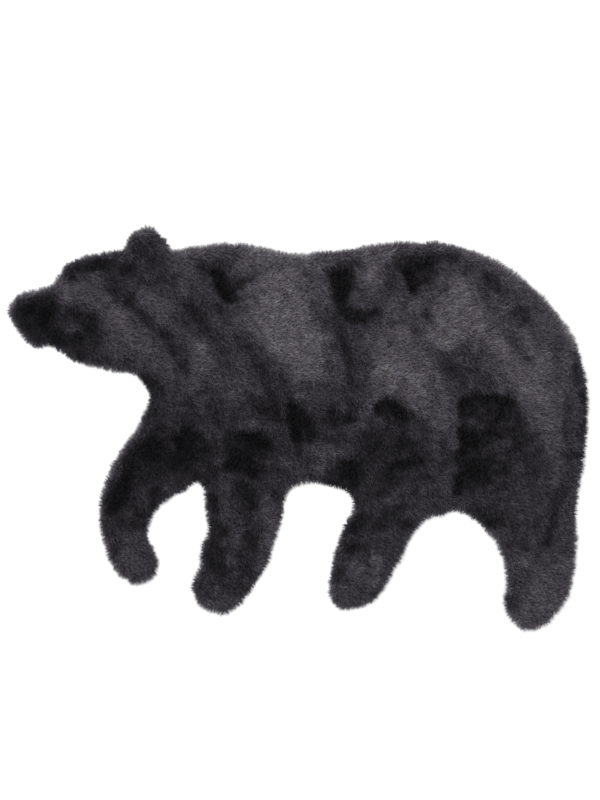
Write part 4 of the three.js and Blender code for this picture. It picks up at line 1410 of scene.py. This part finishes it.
@dataclass(frozen=True)
class KnittedFinish:
    """The plain warp-knitted back of the cloth: close rows of loops with a dull latex dressing.

    Attributes:
        name: the material's name.
        thread: linear colour of the thread's crown.
        gap: linear colour between the loops, a painted shade in their hollows.
        pair: width of two columns of loops, millimetres.
        rows: number of rows of loops in a height as great as that.
        slant: how far the legs of a loop slant, millimetres.
        relief: strength and height of the loops, millimetres.
        roughness: of the thread.
        gloss: specular level.
        blotches: how strongly it shows the mottle.
    """

    name: str = "knitted back"
    thread: tuple[float, float, float] = (0.11, 0.103, 0.11)
    gap: tuple[float, float, float] = (0.03, 0.028, 0.031)
    pair: float = 1.7
    rows: float = 0.8
    slant: float = 0.5
    relief: tuple[float, float] = (0.8, 0.4)
    roughness: float = 0.9
    gloss: float = 0.2
    blotches: Blotches = Blotches(0.12, 0.12, 0.25)

    def build(self, mottle: bpy.types.NodeTree) -> bpy.types.Material:
        """Builds the material.

        Args:
            mottle: the group of blotches.

        Returns:
            The material.
        """
        bench = FinishBench(self.name)
        split = bench.add("ShaderNodeSeparateXYZ", {"Vector": bench.place()}).outputs
        turns = 2 * math.pi / (self.pair * MM)
        wale = bench.maths("ABSOLUTE", bench.maths("SINE", bench.maths("MULTIPLY", split["X"], turns)))
        slant = bench.maths("ADD", split["Y"], bench.maths("MULTIPLY", wale, self.slant * MM))
        row = bench.maths("SINE", bench.maths("MULTIPLY", slant, turns * self.rows))
        loops = bench.maths("MULTIPLY", bench.maths("ADD", row, 1.0), wale)
        height = bench.maths("MULTIPLY", loops, 0.5)
        # Painted shade in the hollows between the loops, the thread's colour on their crowns
        colour = bench.mixed(height, self.gap, self.thread)
        return bench.finished({
            "Base Color": bench.vector("SCALE", colour, bench.blotched(mottle, self.blotches)),
            "Normal": bench.raised(height, *self.relief),
            "Roughness": self.roughness,
            "Specular IOR Level": self.gloss,
        })


@dataclass(frozen=True)
class FloorFinish:
    """The plain pale floor, a little cloudy.

    Attributes:
        name: the material's name.
        paleness: least and greatest lightness.
        clouds: scale, per metre, and detail of the clouds.
        roughness: of the floor.
        gloss: specular level.
    """

    name: str = "pale floor"
    paleness: tuple[float, float] = (0.86, 0.9)
    clouds: tuple[float, float] = (1.5, 3.0)
    roughness: float = 0.8
    gloss: float = 0.1

    def build(self) -> bpy.types.Material:
        """Builds the material.

        Returns:
            The material.
        """
        bench = FinishBench(self.name)
        low, high = self.paleness
        pale = bench.add("ShaderNodeMapRange", {"Value": bench.noise(*self.clouds), "To Min": low, "To Max": high})
        colour = bench.add("ShaderNodeCombineColor", dict.fromkeys(("Red", "Green", "Blue"), pale.outputs[0]))
        return bench.finished({
            "Base Color": colour.outputs[0],
            "Roughness": self.roughness,
            "Specular IOR Level": self.gloss,
        })


def put(name: str, mesh: bpy.types.Mesh) -> bpy.types.Object:
    """Puts a mesh into the scene.

    Args:
        name: the object's name.
        mesh: its mesh, placed where it belongs.

    Returns:
        The object, at the origin.
    """
    thing = bpy.data.objects.new(name, mesh)
    bpy.context.scene.collection.objects.link(thing)
    return thing


def rug_piece(name: str, mesh: bpy.types.Mesh) -> bpy.types.Object:
    """Puts a mesh into the scene as one of the rug's pieces.

    Args:
        name: the piece's name.
        mesh: its mesh, placed where it belongs.

    Returns:
        The piece, which rides on the rug's body and stands in for its solid.
    """
    piece = put(name, mesh)
    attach(piece, BODY)
    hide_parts(SOLID)
    return piece


def turning(a: np.ndarray, b: np.ndarray, c: np.ndarray) -> float:
    """Twice a triangle's area in the plan, below zero where it turns clockwise."""
    return (b[0] - a[0]) * (c[1] - a[1]) - (b[1] - a[1]) * (c[0] - a[0])


def filled(ring: np.ndarray, step: float) -> tuple[np.ndarray, list[tuple[int, ...]]]:
    """Triangles that fill a ring, through a staggered grid inside it.

    Args:
        ring: the ring's corners in order, M by 2.
        step: distance between the grid's points, millimetres.

    Returns:
        All points, and the triangles by point number, facing up.
    """
    points = [Vector(point) for point in np.vstack([ring, grid_inside(ring, step)])]
    edges = [(i, (i + 1) % len(ring)) for i in range(len(ring))]
    found, _, faces, *_ = delaunay_2d_cdt(points, edges, [], 1, SAME_POINT)
    flat = np.array([tuple(point) for point in found])
    return flat, [tuple(face) if turning(*flat[list(face)]) > 0 else tuple(reversed(face)) for face in faces]


def grid_inside(ring: np.ndarray, step: float) -> np.ndarray:
    """Staggered grid of points inside a ring, clear of its edge.

    Args:
        ring: the ring's corners.
        step: distance between the points, millimetres.

    Returns:
        The points, N by 2.
    """
    low, high = ring.min(axis=0), ring.max(axis=0)
    xs = np.arange(low[0], high[0], step)
    ys = np.arange(low[1], high[1], step * math.sqrt(0.75))
    x, y = np.meshgrid(xs, ys)
    x[1::2] += step / 2
    points = np.column_stack([x.ravel(), y.ravel()])
    points = points[Plan.contains(ring, points)]
    distance, _ = nearest_corners(points, ring)
    return points[distance > step * GRID_CLEAR]


def band(above: list[int], below: list[int]) -> list[tuple[int, ...]]:
    """Four-sided faces between two rings with the same number of points."""
    after = above[1:] + above[:1], below[1:] + below[:1]
    return [(next_above, a, b, next_below) for a, b, next_above, next_below in zip(above, below, *after)]


def rim_edges(faces: list[tuple[int, ...]]) -> list[tuple[int, int]]:
    """Edges that only one face has, in that face's direction."""
    seen = dict.fromkeys(edge for face in faces for edge in zip(face, face[1:] + face[:1]))
    return [edge for edge in seen if (edge[1], edge[0]) not in seen]


@dataclass
class GroundCloth:
    """The knitted cloth that the pile stands on: one thin panel, flat on the floor.

    Attributes:
        plan: the rug's outline.
        inset: how far its cut edge lies inside the fur tips, millimetres.
        thick: thickness, millimetres.
        step: size of its mesh, millimetres.
        every: how many of the outline's points go to one of its rim's.
    """

    plan: Plan
    inset: float = 8.0
    thick: float = 1.6
    step: float = 14.0
    every: int = 3

    def build(self, finish: bpy.types.Material) -> bpy.types.Object:
        """Makes the panel.

        Args:
            finish: the knitted back.

        Returns:
            The piece.
        """
        ring = self.plan.inset(self.inset)[:: self.every]
        flat, faces = filled(ring, self.step)
        count = len(flat)
        low = np.column_stack([flat, np.zeros(count)])
        high = np.column_stack([flat, np.full(count, self.thick)])
        walls = [(a, b, b + count, a + count) for a, b in rim_edges(faces)]
        under = [tuple(reversed(face)) for face in faces]
        over = [tuple(i + count for i in face) for face in faces]
        mesh = bpy.data.meshes.new("ground cloth")
        mesh.from_pydata((np.vstack([low, high]) * MM).tolist(), [], under + over + walls)
        mesh.materials.append(finish)
        mesh.update()
        self.area = float(sum(abs(turning(*flat[list(face)])) / 2 for face in faces)) * MM * MM
        self.flat = tuple(float(size) * MM for size in ring.max(axis=0) - ring.min(axis=0))
        return rug_piece("ground_cloth", mesh)


@dataclass
class Undercoat:
    """The dense undercoat: a low lumpy bed with a rounded rim, on which the locks are rooted.

    Attributes:
        plan: the rug's outline.
        shape: the pile's rise and fall.
        nap: how the hairs lie.
        share: the bed's height as a share of the pile's.
        rims: inset and height of each ring of the rounded rim, millimetres and share of the bed's height.
        rim_uneven: share by which the locks at the rim differ in length.
        rim_pitch: distance over which they differ, millimetres.
        rim_seed: seed of their differences.
        reach: least and greatest length of a lock where the pile sinks or rises, as shares of the usual.
        gather: how strongly the tips gather into tufts, within the rug and at its rim.
        step: size of its mesh, millimetres.
        every: how many of the outline's points go to one of its rim's.
        base: height of its underside, just above the ground cloth, millimetres.
    """

    plan: Plan
    shape: PileShape
    nap: NapField
    share: float = 0.42
    rims: tuple[tuple[float, float], ...] = ((4.2, 0.0), (4.8, 0.45), (7.0, 0.82), (11.0, 1.0))
    rim_uneven: float = 0.5
    rim_pitch: float = 11.0
    rim_seed: int = 80
    reach: tuple[float, float] = (0.7, 1.15)
    gather: tuple[float, float] = (0.45, 0.7)
    step: float = 8.0
    every: int = 2
    base: float = 1.7

    def build(self, finish: bpy.types.Material) -> bpy.types.Object:
        """Makes the bed.

        Args:
            finish: the undercoat.

        Returns:
            The piece, whose upper faces carry the nap as attributes.
        """
        reach = self.rims[-1][0]
        flat, faces = filled(self.plan.inset(reach)[:: self.every], self.step)
        order = self._loop(rim_edges(faces))
        height = self.shape.top(flat) * self.share
        points = [np.column_stack([flat, height])]
        _, outward = self.plan.nearest(flat[order])
        count = len(flat)
        walls: list[tuple[int, ...]] = []
        above = list(order)
        for inset, share in reversed(self.rims[:-1]):
            ring = flat[order] + outward * (reach - inset)
            level = self.base + (height[order] - self.base) * share
            points.append(np.column_stack([ring, level]))
            below = list(range(count, count + len(order)))
            count += len(order)
            walls += band(above, below)
            above = below
        points.append(np.column_stack([flat, np.full(len(flat), self.base)]))
        bottom = [tuple(count + i for i in reversed(face)) for face in faces]
        bottom += band(above, [count + i for i in order])
        place = np.vstack(points)
        mesh = bpy.data.meshes.new("undercoat")
        mesh.from_pydata((place * MM).tolist(), [], faces + walls + bottom)
        mesh.materials.append(finish)
        mesh.shade_smooth()
        self.upper_faces = len(faces) + len(walls)
        self._dress(mesh, place)
        mesh.update()
        return rug_piece("undercoat", mesh)

    @staticmethod
    def _loop(sides: list[tuple[int, int]]) -> list[int]:
        """Puts the rim's points in order.

        Args:
            sides: its edges, each from point to point.

        Returns:
            The points' numbers around the rim.
        """
        after = dict(sides)
        first = sides[0][0]
        order = [first]
        while after[order[-1]] != first:
            order.append(after[order[-1]])
        return order

    def _dress(self, mesh: bpy.types.Mesh, place: np.ndarray) -> None:
        """Stores the nap, with its painted sheen and shade, on the mesh's points.

        Args:
            mesh: the bed.
            place: its points in millimetres.
        """
        field = self.nap.at(place[:, :2], self.plan)
        top = self.shape.top(place[:, :2])
        distance, _ = self.plan.nearest(place[:, :2])
        rim = np.exp(-((distance / self.nap.rim_reach) ** 2))
        uneven = 1 + self.rim_uneven * rim * Clouds(self.rim_pitch, self.rim_seed).at(place[:, :2])
        field["reach"] = np.clip(top / self.shape.thick, *self.reach) * uneven
        field["gather"] = self.gather[0] + (self.gather[1] - self.gather[0]) * rim
        for name in NAP_LAYERS:
            stored(mesh, name, field[name])


@dataclass(frozen=True)
class PileRegion:
    """A stretch of the rug whose locks make one piece.

    Attributes:
        name: the piece's name.
        low: lowest x and y of its faces' middles, millimetres.
        high: highest x and y, millimetres.
        seed: seed of its locks.
    """

    name: str
    low: tuple[float, float]
    high: tuple[float, float]
    seed: int

    def holds(self, middles: np.ndarray) -> np.ndarray:
        """Whether each face's middle lies in the region."""
        low, high = np.array(self.low), np.array(self.high)
        return ((middles >= low) & (middles < high)).all(axis=1)


REGIONS = [
    PileRegion("pile_head", (-700, -20), (-265, 500), 3),
    PileRegion("pile_shoulder", (-265, -20), (-70, 500), 5),
    PileRegion("pile_side", (-70, -20), (110, 500), 7),
    PileRegion("pile_loin", (110, -20), (290, 500), 11),
    PileRegion("pile_rump", (290, -20), (700, 500), 13),
    PileRegion("pile_forelegs", (-700, -500), (0, -20), 17),
    PileRegion("pile_hindlegs", (0, -500), (700, -20), 19),
]


@dataclass
class Pile:
    """The long nap: many thousand locks of hairs, by region.

    Attributes:
        plan: the rug's outline.
        nap: how the hairs lie.
        spacing: least distance between two roots, millimetres.
        length: usual length of a lock, millimetres.
        width: usual width of a lock at its root, millimetres.
        tuft: size of the tufts that the tips gather into, millimetres.
        unruly: how far a lock strays from the nap, radians.
        spent: attributes that only the tree and the tones need.
    """

    plan: Plan
    nap: NapField
    spacing: float = 1.6
    length: float = 10.5
    width: float = 2.1
    tuft: float = 7.0
    unruly: float = 0.9
    spent: tuple[str, ...] = ("nap", "lean", "reach", "gather", "cell", "strip", "rooted")

    def build(self, bed: bpy.types.Object, upper_faces: int, finish: bpy.types.Material) -> list[bpy.types.Object]:
        """Makes the locks of each region.

        Args:
            bed: the undercoat.
            upper_faces: number of the bed's faces that carry locks, which come first.
            finish: the plush.

        Returns:
            One piece for each region.
        """
        locks = bpy.data.collections.new("lock forms")
        for form in LockForm:
            locks.objects.link(bpy.data.objects.new(f"lock form {form.name.lower()}", form.mesh()))
        tree = LockTree().build()
        pieces = []
        for region in REGIONS:
            surface = self._surface(bed.data, upper_faces, region)
            pieces.append(self._grown(region, surface, tree, locks, finish))
        for lock in list(locks.objects):
            bpy.data.objects.remove(lock)
        bpy.data.collections.remove(locks)
        return pieces

    @staticmethod
    def _surface(bed: bpy.types.Mesh, upper_faces: int, region: PileRegion) -> bpy.types.Object:
        """Copies the part of the bed that lies in a region.

        Args:
            bed: the undercoat's mesh.
            upper_faces: number of its faces that carry locks.
            region: the region.

        Returns:
            An object with those faces, still dressed with the nap.
        """
        place = read(bed, "position").astype(float)
        faces = [tuple(face.vertices) for face in bed.polygons[:upper_faces]]
        middles = np.array([place[list(face)].mean(axis=0)[:2] for face in faces]) / MM
        cut = bpy.data.meshes.new(region.name + " surface")
        cut.from_pydata(place.tolist(), [], [face for face, held in zip(faces, region.holds(middles)) if held])
        for name in NAP_LAYERS:
            stored(cut, name, read(bed, name))
        return put(region.name + " surface", cut)

    def _grown(
        self,
        region: PileRegion,
        surface: bpy.types.Object,
        tree: bpy.types.NodeTree,
        locks: bpy.types.Collection,
        finish: bpy.types.Material,
    ) -> bpy.types.Object:
        """Grows the locks on a surface and makes them a plain mesh.

        Args:
            region: the region that they stand in.
            surface: where they are rooted, which is used up.
            tree: the Geometry Nodes tree.
            locks: the lock forms.
            finish: the plush.

        Returns:
            The piece.
        """
        area = sum(face.area for face in surface.data.polygons)
        cells = math.ceil(math.sqrt(area / (self.spacing * MM) ** 2))
        values = {
            "Locks": locks, "Spacing": self.spacing * MM, "Length": self.length * MM, "Width": self.width * MM,
            "Tuft": self.tuft * MM, "Unruly": self.unruly, "Cells": float(cells),
            "Seed": region.seed, "Finish": finish,
        }
        modifier = surface.modifiers.new("locks", "NODES")
        modifier.node_group = tree
        for socket in tree.interface.items_tree:
            if socket.in_out == "INPUT" and socket.name in values:
                modifier[socket.identifier] = values[socket.name]
        surface.update_tag()
        bpy.context.view_layer.update()
        graph = bpy.context.evaluated_depsgraph_get()
        mesh = bpy.data.meshes.new_from_object(
            surface.evaluated_get(graph), preserve_all_data_layers=True, depsgraph=graph
        )
        bpy.data.objects.remove(surface)
        self._toned(mesh)
        for name in self.spent:
            layer = mesh.attributes.get(name)
            if layer is not None:
                mesh.attributes.remove(layer)
        mesh.name = region.name
        piece = rug_piece(region.name, mesh)
        triangles = sum(len(face.vertices) - 2 for face in mesh.polygons)
        log.info("%s: %d triangles in %d cells a side", piece.name, triangles, cells)
        return piece

    def _toned(self, mesh: bpy.types.Mesh) -> None:
        """Gives every lock the nap's lightness at its root: its painted sheen and shade.

        Args:
            mesh: the locks.
        """
        _, first, lock = np.unique(read(mesh, "cell"), return_index=True, return_inverse=True)
        roots = read(mesh, "rooted")[first, :2].astype(float) / MM
        stored(mesh, "tone", np.exp2(self.nap.tone(roots, self.plan))[lock])


@dataclass(frozen=True)
class Lamp:
    """A square soft light that faces the rug's middle.

    Attributes:
        name: the lamp's name.
        place: where it hangs, metres.
        size: its side, metres.
        power: watts.
    """

    name: str
    place: tuple[float, float, float]
    size: float
    power: float

    def hang(self) -> None:
        """Puts the lamp into the scene."""
        lamp = bpy.data.lights.new(self.name, "AREA")
        lamp.shape = "SQUARE"
        lamp.size = self.size
        lamp.energy = self.power
        holder = bpy.data.objects.new(self.name, lamp)
        holder.location = self.place
        holder.rotation_euler = (-Vector(self.place)).to_track_quat("-Z", "Y").to_euler()
        bpy.context.scene.collection.objects.link(holder)


@dataclass(frozen=True)
class Studio:
    """The plain pale floor, the soft light and the camera straight above.

    Attributes:
        floor_size: side of the floor, metres.
        floor_steps: number of its faces along a side.
        floor_level: its height, metres: a hair below the rug.
        lamps: a large soft light overhead, and a weaker one from the side.
        sky: strength of the pale sky.
        span_high: what the photograph's height takes in at the rug, millimetres.
        middle: the point of the plan at the middle of the photograph, millimetres.
        lens: focal length, millimetres.
        sensor: height of the sensor, millimetres.
        pile_level: height at which the span is measured, millimetres.
    """

    floor_size: float = 8.0
    floor_steps: int = 8
    floor_level: float = -0.0002
    lamps: tuple[Lamp, ...] = (
        Lamp("key", (-1.6, 1.5, 3.2), 2.2, 95.0),
        Lamp("fill", (2.2, -1.2, 3.4), 3.0, 35.0),
    )
    sky: float = 0.75
    span_high: float = PHOTO_ROWS * PIXEL
    middle: tuple[float, float] = (3.8 - PLAN_MIDDLE[0], 58.6 - PLAN_MIDDLE[1])
    lens: float = 100.0
    sensor: float = 36.0
    pile_level: float = 12.0

    def build(self) -> None:
        """Makes the floor, the lights, the sky and the camera."""
        self._floor()
        for lamp in self.lamps:
            lamp.hang()
        self._sky()
        self._camera()

    def _floor(self) -> None:
        """Lays the pale floor."""
        half, across = self.floor_size / 2, self.floor_steps + 1
        line = np.linspace(-half, half, across)
        points = [(float(x), float(y), self.floor_level) for y in line for x in line]
        corners = [row * across + column for row in range(self.floor_steps) for column in range(self.floor_steps)]
        mesh = bpy.data.meshes.new("floor")
        mesh.from_pydata(points, [], [(i, i + 1, i + across + 1, i + across) for i in corners])
        mesh.materials.append(FloorFinish().build())
        put("floor", mesh)

    def _sky(self) -> None:
        """Makes the sky plain white, and keeps the colours as they are."""
        world = bpy.data.worlds.new("pale sky")
        world.use_nodes = True
        sky = world.node_tree.nodes["Background"]
        sky.inputs["Color"].default_value = (1.0, 1.0, 1.0, 1.0)
        sky.inputs["Strength"].default_value = self.sky
        bpy.context.scene.world = world
        bpy.context.scene.view_settings.view_transform = "Standard"

    def _camera(self) -> None:
        """A long lens that looks straight down on the middle of the photograph's frame."""
        eye = bpy.data.cameras.new("camera")
        eye.lens = self.lens
        eye.sensor_fit = "VERTICAL"
        eye.sensor_height = self.sensor
        holder = bpy.data.objects.new("camera", eye)
        far = self.span_high * self.lens / self.sensor
        holder.location = (self.middle[0] * MM, self.middle[1] * MM, (far + self.pile_level) * MM)
        bpy.context.scene.collection.objects.link(holder)
        bpy.context.scene.camera = holder


def main() -> None:
    """Builds the rug and its studio, and reports each piece."""
    logging.basicConfig(level=logging.INFO, format="%(name)s: %(message)s")
    Studio().build()
    plan = Plan(OUTLINE, OUTLINE_SIDES)
    mottle = Mottle().build()
    cloth = GroundCloth(plan)
    ground = cloth.build(KnittedFinish().build(mottle))
    log.info("%s: flat %s m, %.3f square metres", ground.name, cloth.flat, cloth.area)
    nap = NapField()
    undercoat = Undercoat(plan, PileShape(), nap)
    bed = undercoat.build(UndercoatFinish().build(mottle))
    log.info("%s: %d faces", bed.name, len(bed.data.polygons))
    tufts = Pile(plan, nap).build(bed, undercoat.upper_faces, PlushFinish().build(mottle))


if __name__ == "__main__":
    main()
